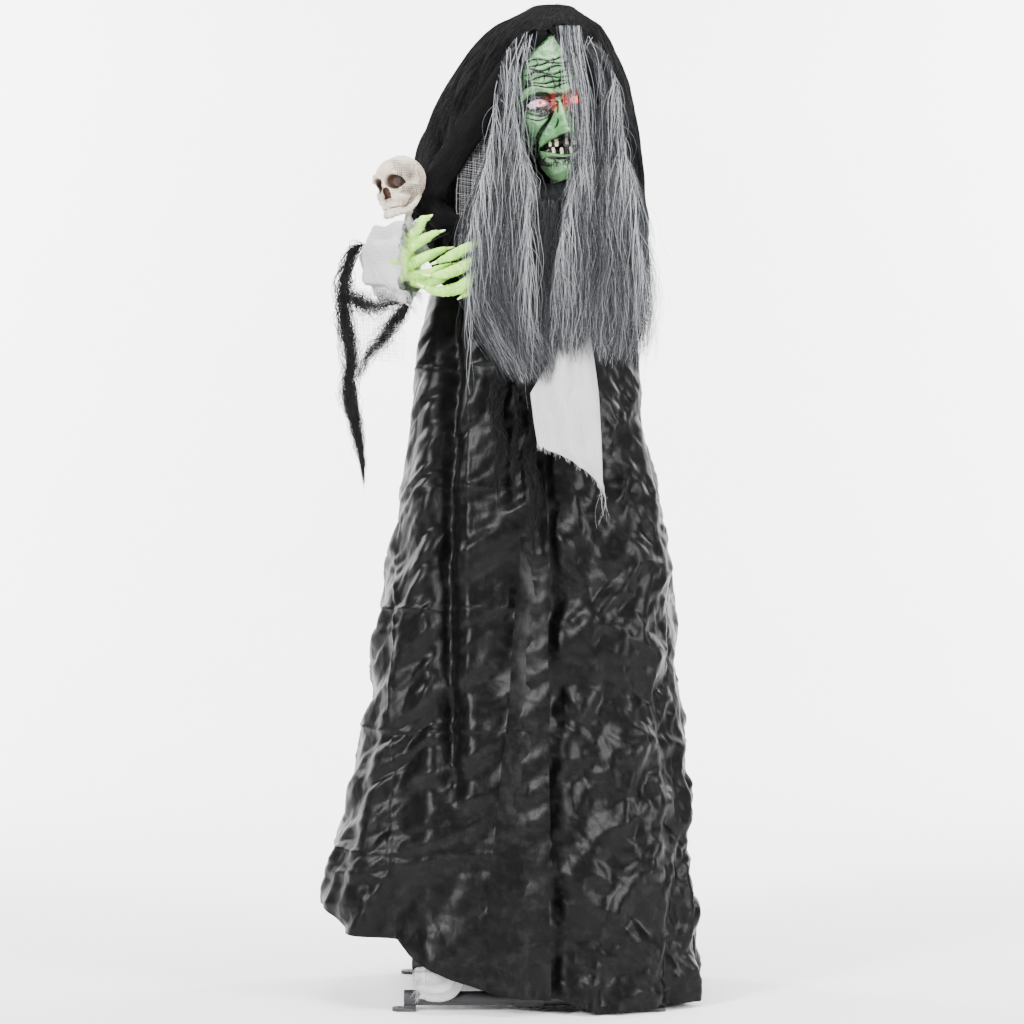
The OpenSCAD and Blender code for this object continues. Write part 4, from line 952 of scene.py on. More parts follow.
# ---------- hood and shawl in one cloth ----------
HOOD_LEFT = [(1230, -190), (1421, -186), (1493, -182), (1527, -168), (1560, -165), (1617, -137), (1698, -95),
             (1757, -45), (1778, -22), (1790, 20), (1800, 66)]
HOOD_RIGHT = [(1230, 248), (1338, 243), (1370, 243), (1421, 246), (1513, 241), (1565, 228), (1617, 213),
    (1657, 206),
              (1688, 201), (1718, 183), (1757, 172), (1790, 141), (1800, 84)]
HOOD_BACK = [(1230, 170), (1300, 162), (1480, 134), (1600, 100), (1700, 85), (1757, 50), (1790, 10),
    (1800, -45)]
HOOD_FRONT = [(1230, -100), (1480, -104), (1600, -122), (1700, -140), (1757, -135), (1790, -110), (1800, -72)]
HOOD_EDGE = [(0, 1335), (45, 1275), (90, 1240), (135, 1300), (180, 1478), (232, 1390), (238, 1500),
    (245, 1600),
             (255, 1690), (262, 1740), (270, 1757), (285, 1752), (300, 1700), (310, 1600), (316, 1480),
             (322, 1345),
             (360, 1335)]


def hood_surface(angle, z):
    c, s = np.cos(np.radians(angle)), np.sin(np.radians(angle))
    left, right = rounded(HOOD_LEFT, z, 26), rounded(HOOD_RIGHT, z, 26)
    back, front = rounded(HOOD_BACK, z, 26), rounded(HOOD_FRONT, z, 26)
    middle = mix(30.0, 75.0, ease((z - 1600) / 200))
    x = middle + np.where(c < 0, middle - left, right - middle) * signed_power(c, 0.92)
    centre_y = mix(8.0, -58.0, ease((z - 1640) / 160))
    y = centre_y + np.where(s < 0, centre_y - front, back - centre_y) * signed_power(s, 0.92)
    return np.stack([x, y, z + 0 * x], -1)


def make_hood():
    rows, columns = ((190, 320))
    top = box_mm("hood_upper")[1][2]
    t = np.linspace(0.004, 1, rows)[:, None]
    angle = np.linspace(0, 360, columns)[None, :]
    t, angle = np.broadcast_arrays(t, angle)
    rag = 10 * soft_noise(angle / 7, 0 * angle, 5) + 6 * soft_noise(angle / 2.2, 0 * angle, 6)
    edge = (
        curve_at(HOOD_EDGE, angle[:1] % 360.0001)
        + rag[:1] * ease((angle[:1] % 360) / 12) * ease((360 - angle[:1] % 360) / 12)
    )
    edge = np.broadcast_to(np.minimum(edge, top - 30), t.shape)
    share = np.where(t < 0.25, 1.6 * t**2, mix(0.1, 1.0, (t - 0.25) / 0.75))
    z = top - (top - edge) * share
    plain = hood_surface(angle, z)
    c = np.cos(np.radians(angle))
    away = top - z
    calm = ease(away / 60)
    drape = (
        7 * np.cos(np.radians(angle * 11) + 1.4 * np.sin(z / 90))
        + 5 * np.cos(np.radians(angle * 23) + z / 70)
    )
    u, v = 3.2 * np.cos(np.radians(angle)), 3.2 * np.sin(np.radians(angle))
    folds = (
        7 * soft_noise(u * 1.6 + z / 150, v * 1.6 - z / 190, 31) + 4 * creased(u * 2.6 + z / 140, v * 2.6, 37)
    )
    sweep = np.radians(angle * 8) + (z - 1700) / 105 + 0.8 * soft_noise(u * 1.2, v * 1.2 + z / 240, 29)
    ropes = 12 * np.abs(np.sin(sweep)) ** 0.6 - 9 + 5 * np.abs(np.sin(sweep * 2.3 + 1.0)) ** 0.6
    folds = folds + ropes * mix(0.45, 1, (1 - c) / 2)
    fine = 2.4 * soft_noise(u * 9, v * 9 + z / 60, 41) + 1.2 * soft_noise(u * 22, v * 22 + z / 26, 43)
    outward = grid_normals(plain)
    outward[:3] = np.array([0, 0, 1.0])
    push = (drape * ease(away / 330) * 0.9 + folds * mix(0.4, 1, ease(away / 200)) + fine) * calm
    points = plain + outward * push[..., None]
    sag = 6 * np.sin(np.radians(angle * 5)) * ease(away / 140)
    points[..., 2] = np.minimum(points[..., 2] + sag * calm * (1 - ease((t - 0.9) * 10)), top + 1.0)
    thing = cloth_piece("hood_cloth", points * MM, BLACK_GAUZE)
    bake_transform(thing)
    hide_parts("hood_upper", "shawl")
    say_sheet(plain[::4, ::4])
    return points, angle


def thread_net(name, corner, across_to, down_to, columns, rows, material, width, seed, droop=0.0, bow=None):
    """A loose net of threads on a four-cornered patch, with pulled and missing threads."""
    rng = np.random.default_rng(seed)
    corner, across_to, down_to = (np.array(p, float) for p in (corner, across_to, down_to))
    steps = 26
    u_run = np.linspace(0, 1, steps)

    def patch(u, v):
        p = corner + (across_to - corner) * u[..., None] + (down_to - corner) * v[..., None]
        wave = 3.0 * soft_noise(u * 4 + seed, v * 6, seed) + 1.6 * soft_noise(u * 11, v * 17, seed + 3)
        p[..., 1] += wave + (bow(u, v) if bow else 0)
        p[..., 0] += 2.2 * soft_noise(u * 5, v * 8, seed + 7)
        p[..., 2] -= droop * np.sin(np.pi * u) * (0.4 + v)
        return p

    down = np.linspace(0, 1, columns)[:, None] + rng.normal(0, 0.16 / columns, (columns, 1)) + 0 * u_run
    long = patch(down, mix(0, 1, u_run)[None, :] * rng.uniform(0.86, 1.05, (columns, 1)))
    level = np.linspace(0, 1, rows)[:, None] + rng.normal(0, 0.16 / rows, (rows, 1)) + 0 * u_run
    ends = np.sort(rng.uniform(0, 1, (rows, 2)), axis=1)
    first, last = ends[:, :1] * 0.25, 1 - (1 - ends[:, 1:]) * 0.25
    cross = patch(mix(first, last, u_run[None, :]), level)
    paths = np.concatenate([long, cross]) * MM
    tone = np.broadcast_to(rng.uniform(0, 1, (len(paths), 1)), paths.shape[:2])
    return strands(name, paths, material, width, 0.0012, tone=tone, thick=np.ones(paths.shape[:2]))


def loose_threads(name, roots, ways, lengths, material, width, seed, steps=9):
    """Threads that hang from given places, each starting out along its own way."""
    rng = np.random.default_rng(seed)
    n = len(roots)
    s = np.linspace(0, 1, steps)[None, :, None]
    ways = unit(ways + rng.normal(0, 0.35, (n, 3)))
    fall = np.array([0, 0, -1.0]) * s**2
    curl = rng.normal(0, 0.22, (n, 1, 3)) * np.sin(s * np.pi * rng.uniform(0.6, 2.2, (n, 1, 1)))
    paths = roots[:, None] + lengths[:, None, None] * (ways[:, None] * s * 0.6 + fall * 0.7 + curl * s)
    tone = np.broadcast_to(rng.uniform(0, 1, (n, 1)), paths.shape[:2])
    thing = strands(name, paths * MM, material, width, 0.0015, tone=tone)
    return thing


def fuzz_on_hood(points):
    """Stray fibres standing out from the gauze, and a ragged fringe along its lower edge."""
    rng = np.random.default_rng(7)
    rows, columns = points.shape[:2]
    outward = grid_normals(points)
    groups = {"head": [], "stand": []}
    for _ in range(1900):
        i, j = int(rng.integers(int(rows * 0.03), rows)), int(rng.integers(columns))
        p = points[i, j]
        if p[2] > 1700:
            groups["head"].append((p, outward[i, j]))
        elif p[2] < 1545:
            groups["stand"].append((p, outward[i, j]))
    for body, found in groups.items():
        roots = np.array([f[0] for f in found])
        ways = np.array([f[1] for f in found]) + rng.normal(0, 0.5, (len(found), 3))
        long = rng.uniform(5, 16, len(found))
        thing = loose_threads("hood_fibres_" + body, roots, ways, long, BLACK_THREAD, 0.00022, 9)
        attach(thing, body)
    edge = points[-1, ::2]
    low = edge[edge[:, 2] < 1545]
    roots = np.repeat(low, 2, axis=0) + rng.normal(0, 1.5, (2 * len(low), 3))
    thing = loose_threads("hood_fringe", roots, np.tile([0, 0, -1.0], (len(roots), 1)),
        rng.uniform(12, 46, len(roots)), BLACK_THREAD, 0.0003, 12)
    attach(thing, "stand")


def make_lining():
    """A smoother roll of cloth inside the hood, on the figure's right of the face, and its lower fold."""
    rows, columns = 130, 60
    path = spline([(58, -128, 1742), (14, -142, 1706), (-22, -146, 1650), (-62, -142, 1585),
        (-104, -138, 1520),
                   (-140, -134, 1462), (-146, -136, 1432), (-120, -142, 1404), (-80, -148, 1386)], 16)
    path = path[np.linspace(0, len(path) - 1, rows).astype(int)]
    along = unit(np.gradient(path, axis=0))
    side = unit(np.cross(np.array([0, -1.0, 0.2]), along))
    out = np.cross(along, side)
    wide = curve_at([(0, 9), (0.15, 19), (0.5, 27), (0.75, 31), (0.9, 22), (1, 10)],
        np.linspace(0, 1, rows))[:, None]
    turn = np.linspace(-0.8, 1.35, columns)[None, :] * np.pi
    i = np.linspace(0, 1, rows)[:, None]
    radius = wide * (1 + 0.13 * soft_noise(i * 16, turn * 1.2, 3) + 0.10 * creased(i * 11, turn * 1.4, 8))
    radius = radius * (1 - 0.25 * ease((turn / np.pi - 0.8) * 2))
    grid = (
        path[:, None] + side[:, None] * (radius * np.cos(turn))[..., None]
        + out[:, None] * (radius * 0.62 * np.sin(turn))[..., None]
    )
    thing = cloth_piece("hood_lining", grid[:, ::-1] * MM, INNER_GAUZE_PAINTED_SHADE)
    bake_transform(thing)
    say_sheet(grid)


# ---------- hair ----------
HAIR_LEFT = [(1108, 6, 74), (1188, -34, 56), (1259, -63, 31), (1330, -74, 28), (1401, -67, 30),
    (1472, -53, 33),
             (1507, -44, 24), (1561, -36, 8), (1614, -28, 2), (1685, -18, 4), (1722, 4, 26), (1756, 48, 58)]
HAIR_RIGHT = [(1130, 84, 214), (1188, 78, 226), (1259, 77, 230), (1330, 84, 226), (1401, 95, 218),
    (1472, 112, 212),
              (1507, 124, 203), (1561, 127, 197), (1614, 128, 190), (1685, 108, 176), (1722, 84, 152),
              (1756, 56, 92)]
HAIR_OUT = [(1100, -257), (1190, -262), (1330, -262), (1401, -237), (1465, -210), (1500, -174), (1614, -163),
            (1700, -163), (1752, -150)]


def hair_edges(table, z):
    return curve_at([(p[0], p[1]) for p in table], z), curve_at([(p[0], p[2]) for p in table], z)


def lock_paths(rng, table, count, top, bottom, deep, spread=1.0, steps=24, lock_count=34):
    """Strands gathered in wavy locks between the two edges of a curtain."""
    locks = np.sort(rng.uniform(0, 1, lock_count))
    which = rng.integers(lock_count, size=count)
    across = np.clip(locks[which] + rng.normal(0, 0.034 * spread, count), 0, 1)
    ends = (
        bottom + rng.uniform(0, 150, lock_count)[which] * np.abs(rng.normal(0.5, 0.4, count))
        + rng.uniform(-18, 40, count)
    )
    starts = top - rng.uniform(0, 14, count)
    s = np.linspace(0, 1, steps)[None, :]
    z = mix(starts[:, None], ends[:, None], s)
    left, right = hair_edges(table, z)
    phase = rng.uniform(0, 6.28, lock_count)[which][:, None]
    size = rng.uniform(4, 12, lock_count)[which][:, None] * ease(s * 2)
    drift = size * np.sin(z / rng.uniform(34, 60, lock_count)[which][:, None] + phase)
    pull = (locks[which][:, None] - across[:, None]) * ease((s - 0.6) * 2) * 0.35
    splay = rng.normal(0, 15.0, (count, 1)) * ease((s - 0.25) * 1.5)
    x = mix(left, right, across[:, None] + pull) + drift * mix(0.25, 1, ease((1520 - z) / 120)) + splay
    middle = (left + right) / 2
    bow = 16 * ((x - middle) / np.maximum(right - left, 20) * 2) ** 2
    lift = 4.5 * np.sin(across * 41 + phase[:, 0] * 0.2)[:, None]
    y = curve_at(HAIR_OUT, z) + bow * 0.8 + lift * ease(s * 2) + deep + rng.normal(0, 2.4, (count, 1))
    y = y + 3 * np.cos(z / 47 + phase) + 46 * (1 - ease(s * 11))
    x = x + 3.4 * np.sin(z / rng.uniform(7, 22, (count, 1)) + rng.uniform(0, 6, (count, 1))) * ease(s * 3)
    streak = 0.13 * np.sin(which * 12.9898)[:, None] + rng.normal(0, 0.25, (count, 1))
    # painted shade: each strand is darker over its first sixth, near the root, under the hood's edge
    tone = np.clip((0.27 + streak + 0.10 * ease((s - 0.25) * 1.4)) * mix(0.35, 1, ease(s * 6)), 0, 1)
    return np.stack([x, y, z], -1), tone


def make_hair():
    rng = np.random.default_rng(21)
    share = 1.0
    many = lambda n: int(n * share)
    left, left_tone = lock_paths(rng, HAIR_LEFT, many(4300), 1752, 1120, 0)
    right, right_tone = lock_paths(rng, HAIR_RIGHT, many(4300), 1757, 1150, 0)
    right_low, right_low_tone = lock_paths(rng, HAIR_RIGHT, many(2300), 1640, 1160, -5, lock_count=30)
    deep, deep_tone = lock_paths(rng, [(1180, 15, 94), (1440, 22, 104), (1462, 30, 104)], many(1500),
        1452, 1175, 10)
    # painted shade: the deep strands behind the curtains are darkened to 0.45 of their tone
    groups = [("hair_right_side", left, left_tone, 1.0), ("hair_left_side", right, right_tone, 1.0),
              ("hair_left_locks", right_low, right_low_tone, 1.0), ("hair_deep", deep, deep_tone * 0.45, 0.8)]
    for name, paths, tone, size in groups:
        turn = rng.normal(0, 0.75, len(paths))
        face = np.stack([np.sin(turn), -np.cos(turn), 0 * turn], -1)[:, None]
        thing = strands(name, paths * MM, HAIR, 0.00036 * size, 0.0026, flat=True, face=face, tone=tone)
        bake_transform(thing)
    fringe_and_strays(rng, many)
    hair_underlayer()


def fringe_and_strays(rng, many):
    count = many(90)
    s = np.linspace(0, 1, 20)[None, :]
    start = rng.uniform(84, 122, count)[:, None]
    end = start + rng.uniform(8, 30, count)[:, None]
    z = mix(1745.0, rng.uniform(1440, 1560, count)[:, None], s)
    x = mix(start, end, ease(s * 1.4)) + 5 * np.sin(z / 55 + rng.uniform(0, 6, (count, 1)))
    y = (
        -178 - 10 * np.sin(s * np.pi) - 18 * bump(z - 1590, 90) + 0.0008 * (x - 92) ** 2 * 6
        + rng.normal(0, 3, (count, 1))
    )
    tone = np.clip(rng.normal(0.55, 0.25, (count, 1)) + 0 * s, 0, 1)
    thing = strands("hair_fringe", np.stack([x, y, z], -1) * MM, HAIR, 0.00034, 0.002, flat=True, tone=tone)
    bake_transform(thing)
    count = many(520)
    side = rng.integers(2, size=count)
    z0 = rng.uniform(1300, 1740, count)
    l0, l1 = hair_edges(HAIR_LEFT, z0)
    r0, r1 = hair_edges(HAIR_RIGHT, z0)
    x0 = np.where(side == 0, np.where(rng.uniform(size=count) < 0.5, l0, l1),
        np.where(rng.uniform(size=count) < 0.5, r0, r1))
    away = rng.normal(0, 26, (count, 1))
    z = z0[:, None] - rng.uniform(60, 240, (count, 1)) * s
    x = x0[:, None] + away * s * (1.4 - s) + 3 * np.sin(z / 23 + away)
    y = curve_at(HAIR_OUT, z) - 6 - rng.uniform(0, 16, (count, 1)) * np.sin(s * 3)
    tone = np.clip(rng.normal(0.7, 0.2, (count, 1)) + 0 * s, 0, 1)
    thing = strands("hair_strays", np.stack([x, y, z], -1) * MM, HAIR, 0.00026, 0.003, flat=True, tone=tone)
    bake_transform(thing)


def hair_underlayer():
    """Dense hair behind the curtains as very dark sheets, their darkness painted shade, and the hair on the
    back of the head.
    """
    for name, table, top, bottom in (("hair_right_base", HAIR_LEFT, 1745, 1215),
            ("hair_left_base", HAIR_RIGHT, 1750, 1205)):
        z = np.linspace(top, bottom, 90)[:, None]
        u = np.linspace(0.04, 0.96, 40)[None, :]
        left, right = hair_edges(table, z)
        x = mix(left, right, u) + 3 * np.sin(z / 40 + u * 9)
        middle = (left + right) / 2
        bow = 16 * ((x - middle) / np.maximum(right - left, 20) * 2) ** 2
        y = curve_at(HAIR_OUT, z) + 7 + bow + 2.5 * np.sin(u * 70 + z / 60)
        grid = np.stack(np.broadcast_arrays(x, y, z), -1)
        finish_hair_sheet(name, grid)
    z = np.linspace(1470, 1195, 60)[:, None]
    u = np.linspace(0, 1, 26)[None, :]
    x = mix(8.0, 104.0, u) + 2 * np.sin(z / 33 + u * 5)
    y = curve_at(HAIR_OUT, z) + 20 + 3 * np.sin(u * 36 + z / 60) + 40 * ease((z - 1440) / 30)
    finish_hair_sheet("hair_middle_base", np.stack(np.broadcast_arrays(x, y, z), -1))
    back_of_head()


def finish_hair_sheet(name, grid):
    thing = cloth_piece(name, grid * MM, HAIR_BASE)
    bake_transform(thing)
    say_sheet(grid)


def back_of_head():
    """Hair round the sides and back of the head, mostly under the hood: a dark base sheet."""
    low, high = box_mm("wig_cap")
    centre = (low + high) / 2
    rows, columns = 60, 110
    t = np.linspace(0, 1, rows)[:, None]
    angle = np.radians(np.linspace(-52, 222, columns))[None, :]
    z = mix(high[2] + 3, 1475.0, t**1.35)
    reach = curve_at([(1475, 84), (1560, 86), (1640, 84), (1700, 74), (1735, 54), (1752, 30), (1760, 14)], z)
    ripple = 1 + 0.025 * np.sin(angle * 34 + 2 * np.sin(z / 50))
    x = centre[0] + reach * ripple * np.cos(angle)
    y = NECK[1] + 2 + reach * ripple * np.sin(angle) * np.where(np.sin(angle) > 0, 1.12, 1.0)
    grid = np.stack(np.broadcast_arrays(x, y, z), -1)
    # dark sheet in painted shade
    thing = cloth_piece("hair_back_base", grid * MM, HAIR_BASE)
    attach(thing, "head")
    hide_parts("hair_upper", "hair_lower", "wig_cap")
    say_sheet(grid)


# ---------- mask ----------
HEAD_WIDTH = [(-141, 11), (-139, 14), (-128, 26), (-100, 43), (-70, 56), (-40, 67), (0, 75), (50, 75),
    (90, 61), (115, 43),
              (130, 25)]
FACE_DEPTH = [(-141, 42), (-128, 60), (-105, 70), (-70, 70), (-40, 68), (0, 66), (60, 68), (90, 60),
    (115, 44), (130, 26)]
EYE_HALF = 33.0  # half the distance between the eyes' centres


def near_path(x, z, path):
    """Distance from each point to a smooth path, and how far along it (0 to 1) the nearest place is."""
    path = spline([(p[0], 0, p[1]) for p in path], 10)[:, [0, 2]]
    best = np.full(x.shape, 1e9)
    share = np.zeros(x.shape)
    n = len(path) - 1
    for k in range(n):
        a, b = path[k], path[k + 1]
        d = b - a
        t = np.clip(((x - a[0]) * d[0] + (z - a[1]) * d[1]) / (d @ d + 1e-9), 0, 1)
        away = np.hypot(x - a[0] - t * d[0], z - a[1] - t * d[1])
        closer = away < best
        best = np.where(closer, away, best)
        share = np.where(closer, (k + t) / n, share)
    return best, share


def line_mark(x, z, path, width, taper=True):
    away, share = near_path(x, z, path)
    size = width * (0.35 + 0.65 * np.sin(np.pi * np.clip(share, 0.02, 0.98))) if taper else width
    return bump(away, np.maximum(size, 0.3))


def eye_opening(x, z, grow=0.0):
    """Signed distance-like number: below zero inside the almond-shaped opening."""
    mark = np.full(x.shape, 1e9)
    for side in (-1, 1):
        u, v = (x - side * EYE_HALF) * side, z + 1
        tilt = v - 0.12 * u
        half = (7.5 + grow) * (1 - (u / (19.5 + grow)) ** 2)
        mark = np.minimum(mark, np.maximum(np.abs(tilt) - half, np.abs(u) - (19.5 + grow)))
    return mark


def mouth_opening(x, z):
    u = (x + 5) / 38
    top = -69 + 3.5 * np.cos(u * 3.1) - 7 * u * u
    low = -99 + 12 * u * u - 3 * np.sin(u * 2)
    return np.maximum(np.maximum(z - top, low - z), (np.abs(u) - 1) * 20)


def make_mask():
    rows, columns = ((360, 215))
    z = np.linspace(130, -141, rows)[:, None]
    a = np.radians(np.linspace(181, 359, columns))[None, :]
    z, a = np.broadcast_arrays(z, a)
    x = curve_at(HEAD_WIDTH, z) * signed_power(np.cos(a), 0.92)
    y = curve_at(FACE_DEPTH, z) * signed_power(np.sin(a), 0.92)
    ax = np.abs(x)
    out = 36 * bump(x, 8.0 + 6.5 * np.clip(-z / 60, 0, 1)) * ease((z + 75) / 9) * ease((16 - z) / 68)
    out += 13 * bump(x, 8) * ease((z + 74) / 5) * bump(z + 62, 13)
    out += 9 * bump(ax - 12.5, 6) * bump(z + 60, 9)
    nostril = bump(ax - 8.5, 3.4) * bump(z + 70, 3.4)
    out -= 9 * nostril
    brow = line_mark(ax, z, [(5, 9), (18, 17), (36, 27), (56, 22), (68, 8)], 9)
    out += 10 * brow
    out -= 13 * bump(ax - 33, 25) * bump(z + 3, 15)
    lid = bump(eye_opening(x, z), 2.6)
    out += 5.5 * lid + 2.2 * bump(eye_opening(x, z, 6), 1.6) * (z < 0)
    out += 12 * bump(ax - 52, 15) * bump(z + 31, 14)
    out -= 8 * bump(ax - 54, 15) * bump(z + 72, 19)
    fold = line_mark(ax, z, [(13, -20), (24, -36), (40, -55), (47, -78), (41, -100), (28, -113)], 3.6)
    fold_lip = line_mark(ax, z, [(20, -20), (33, -38), (50, -56), (57, -80), (50, -102)], 6.5)
    out += 6 * fold_lip - 6.5 * fold
    under_eye = line_mark(ax, z, [(10, -12), (22, -22), (40, -24), (58, -14)], 2.6)
    under_two = line_mark(ax, z, [(14, -20), (27, -30), (44, -33), (60, -24)], 1.8)
    out -= 3.6 * under_eye + 2.4 * under_two
    mouth = mouth_opening(x, z)
    out += 7.5 * bump(mouth - 4.5, 4.2) + 5 * bump(z + 80, 26) * bump(x + 4, 38)
    out += 17 * bump(z + 124, 15) * bump(x, 17) - 4.0 * bump(x, 2.2) * bump(z + 125, 9)
    lower_line = line_mark(x, z, [(-30, -100), (-12, -106), (6, -107), (24, -100)], 2.6)
    out -= 4 * lower_line
    wash = np.clip(fold * 1.15 + under_eye + 0.7 * under_two + 1.1 * nostril + lower_line * 1.2, 0, 1.5)
    for k in range(7):
        level = 24 + 8.2 * k
        wander = 2.4 * np.sin(x / 9 + k * 1.9) + 3.5 * (ax / 60) ** 2 + 1.6 * soft_noise(x / 12, z * 0 + k, 5)
        groove = bump(z - level - wander, 1.25) * ease((62 - ax) / 16)
        out += -2.6 * groove + 2.0 * bump(z - level - 4 - wander, 2.2) * ease((62 - ax) / 16)
        wash += groove * 1.05
    for k in range(13):
        start = -58 + 9.6 * k
        link = line_mark(x, z,
            [(start, 30 + 14 * (k % 3)), (start + 8, 40 + 14 * (k % 3)), (start + 7, 52 + 12 * (k % 3))], 1.1)
        out -= 1.6 * link
        wash += 0.8 * link
    for side in (-1, 1):
        for path in ([(66, -6), (58, -2), (54, 2)], [(68, -13), (60, -9), (54, -7)],
                [(66, 6), (60, 6), (55, 9)],
                     [(62, -44), (66, -60), (60, -78)], [(7, 2), (5, -10), (8, -26)],
                     [(9, -34), (12, -46), (17, -52)],
                     [(40, 34), (52, 32), (64, 22)], [(6, 18), (4, 28), (8, 40)],
                     [(33, -96), (40, -108), (36, -120)]):
            mark = line_mark(x * side, z, path, 1.7)
            out -= 2.2 * mark
            wash += mark * 0.8
    stubble = bump(z + 112, 7) * ease((34 - ax) / 10)
    wash += 0.85 * stubble * (soft_noise(x / 1.6, z / 5, 61) > -0.1)
    knot = bump(x + 3, 10) * bump(z - 9, 4.2)
    wash += 1.3 * knot
    socket = ease((15.5 - eye_opening(x, z)) / 9) * (1 - 0.45 * ease((z - 12) / 6))
    wash += 1.25 * socket * ease((z + 30) / 8)
    out += (
        1.5 * cloudy(x / 9, z / 9, 71, 3) * 0.7 + 0.7 * creased(x / 5, z / 5, 75)
        + 0.35 * soft_noise(x / 1.7, z / 1.7, 79)
    )
    warts = [(-47, -14, 2.6), (39, -46, 3.1), (-12, -48, 2.2), (19, -118, 2.8), (-31, 84, 3.0), (44, 72, 2.4)]
    for wx, wz, size in warts:
        out += 2.4 * bump(np.hypot(x - wx, z - wz), size)
    inside = ease(-eye_opening(x, z) / 1.6)
    out = out * (1 - inside) - 21 * inside
    gape = ease(-mouth / 2.2)
    out = mix(out, -16 - 4 * soft_noise(x / 8, z / 8, 3), gape)
    wash += 2 * gape + 2 * inside
    # painted red light from the eyes on the sides of the nose and the inner eye corners
    red = bump(ax - 11, 5.5) * bump(z + 4, 14) + 0.8 * bump(eye_opening(x, z) - 2, 2.5) * (ax < 26)
    # painted highlight mask on the raised parts: cheekbones, nose ridge, chin, brow and forehead
    light = np.clip(1.2 * bump(ax - 53, 12) * bump(z + 30, 10) + 0.9 * bump(x, 6) * (z < 0) * (z > -68)
        + 0.8 * bump(z + 126, 12) * bump(x, 14)
                    + 0.8 * brow + 0.6 * bump(z - 92, 26) * bump(x, 44), 0, 1)
    # painted glow: red light from the lit eye spilled over the mask round it
    glow = (
        np.clip(bump(np.hypot(x - EYE_HALF, (z - 2) * 1.3), 16) * 0.8
        + 0.25 * bump(ax - 10, 4) * bump(z + 6, 12), 0, 1) * (1 - 0.6 * np.clip(wash, 0, 1))
    )
    rim = ease(np.minimum(np.degrees(a) - 181, 359 - np.degrees(a)) / 9)
    grid = np.stack([x, y - out * mix(0.15, 1, rim) - 0.5, z], -1)
    thing = cloth_piece("witch_mask", head_place(grid) * MM, MASK, wash=np.clip(wash, 0, 1.2),
        light=light * (1 - gape), red=np.clip(red, 0, 1) * (1 - gape),
                        glow=glow)
    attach(thing, "head")
    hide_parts("mask_shell", "mouth_liner")


def make_eyes():
    for side, name in ((-1, "eye_right"), (1, "eye_left")):
        turn, lift = np.meshgrid(np.linspace(0, 2 * np.pi, 64, endpoint=False),
            np.linspace(0.0, np.pi, 44), indexing="xy")
        ball = np.stack([np.cos(turn) * np.sin(lift), np.sin(turn) * np.sin(lift), np.cos(lift)], -1)
        local = ball * np.array([22.0, 11.5, 13.5])
        centre = np.array([side * EYE_HALF, -42.5, -1.0])
        cornea = 1.2 * bump(np.hypot(local[..., 0], local[..., 2]), 5.0) * (local[..., 1] < 0)
        placed = local + centre
        placed[..., 1] -= cornea
        mesh = fill_mesh(name, head_place(placed) * MM, grid_faces(44, 64, True))
        add_values(mesh, across=local[..., 0], upward=local[..., 2] - 0.5,
            lit=np.full(local.shape[:2], 1.0 if side > 0 else 0.12))
        mesh.materials.append(EYE)
        thing = link(mesh)
        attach(thing, "head")
        if side < 0:
            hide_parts("eyeballs", "eye_lamps")


def make_teeth():
    pegs = [(-25, -73, 8, 5.5), (-13, -71, 11, 7), (6, -71, 9, 6), (20, -73, 9, 6), (-20, -92, -9, 6),
        (-5, -95, -10, 6.5),
            (12, -94, -9, 6)]
    tubes = []
    for x, z, length, wide in pegs:
        path = [(x, -58, z + 2 * np.sign(length)), (x + 0.4, -59.5, z - length * 0.35),
            (x - 0.3, -60.5, z - length * 0.75), (x - 0.5, -60.5, z - length)]
        tubes.append(dict(points=head_place(np.array(path, float)) * MM,
            radii=np.array([wide * 0.5, wide * 0.52, wide * 0.5, wide * 0.40]) * MM, sides=10, flat=0.6))
    mesh = soft_body("mask_teeth", tubes, [], 0.0006, 3)
    mesh.materials.append(TOOTH)
    thing = link(mesh)
    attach(thing, "head")
    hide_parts("teeth")


# ---------- hands ----------
def finger_tube(points, sides=14):
    """Fingers and claws from a few places with their thickness, x, y, z and radius."""
    path = spline(points, 6)
    plump = np.where(np.arange(len(path)) > 0.8 * len(path), 1.0, 1.12)
    return dict(points=(path[:, :3] + [0, 0, SHOULDER_Z]) * MM, radii=path[:, 3] * plump * MM, sides=sides)


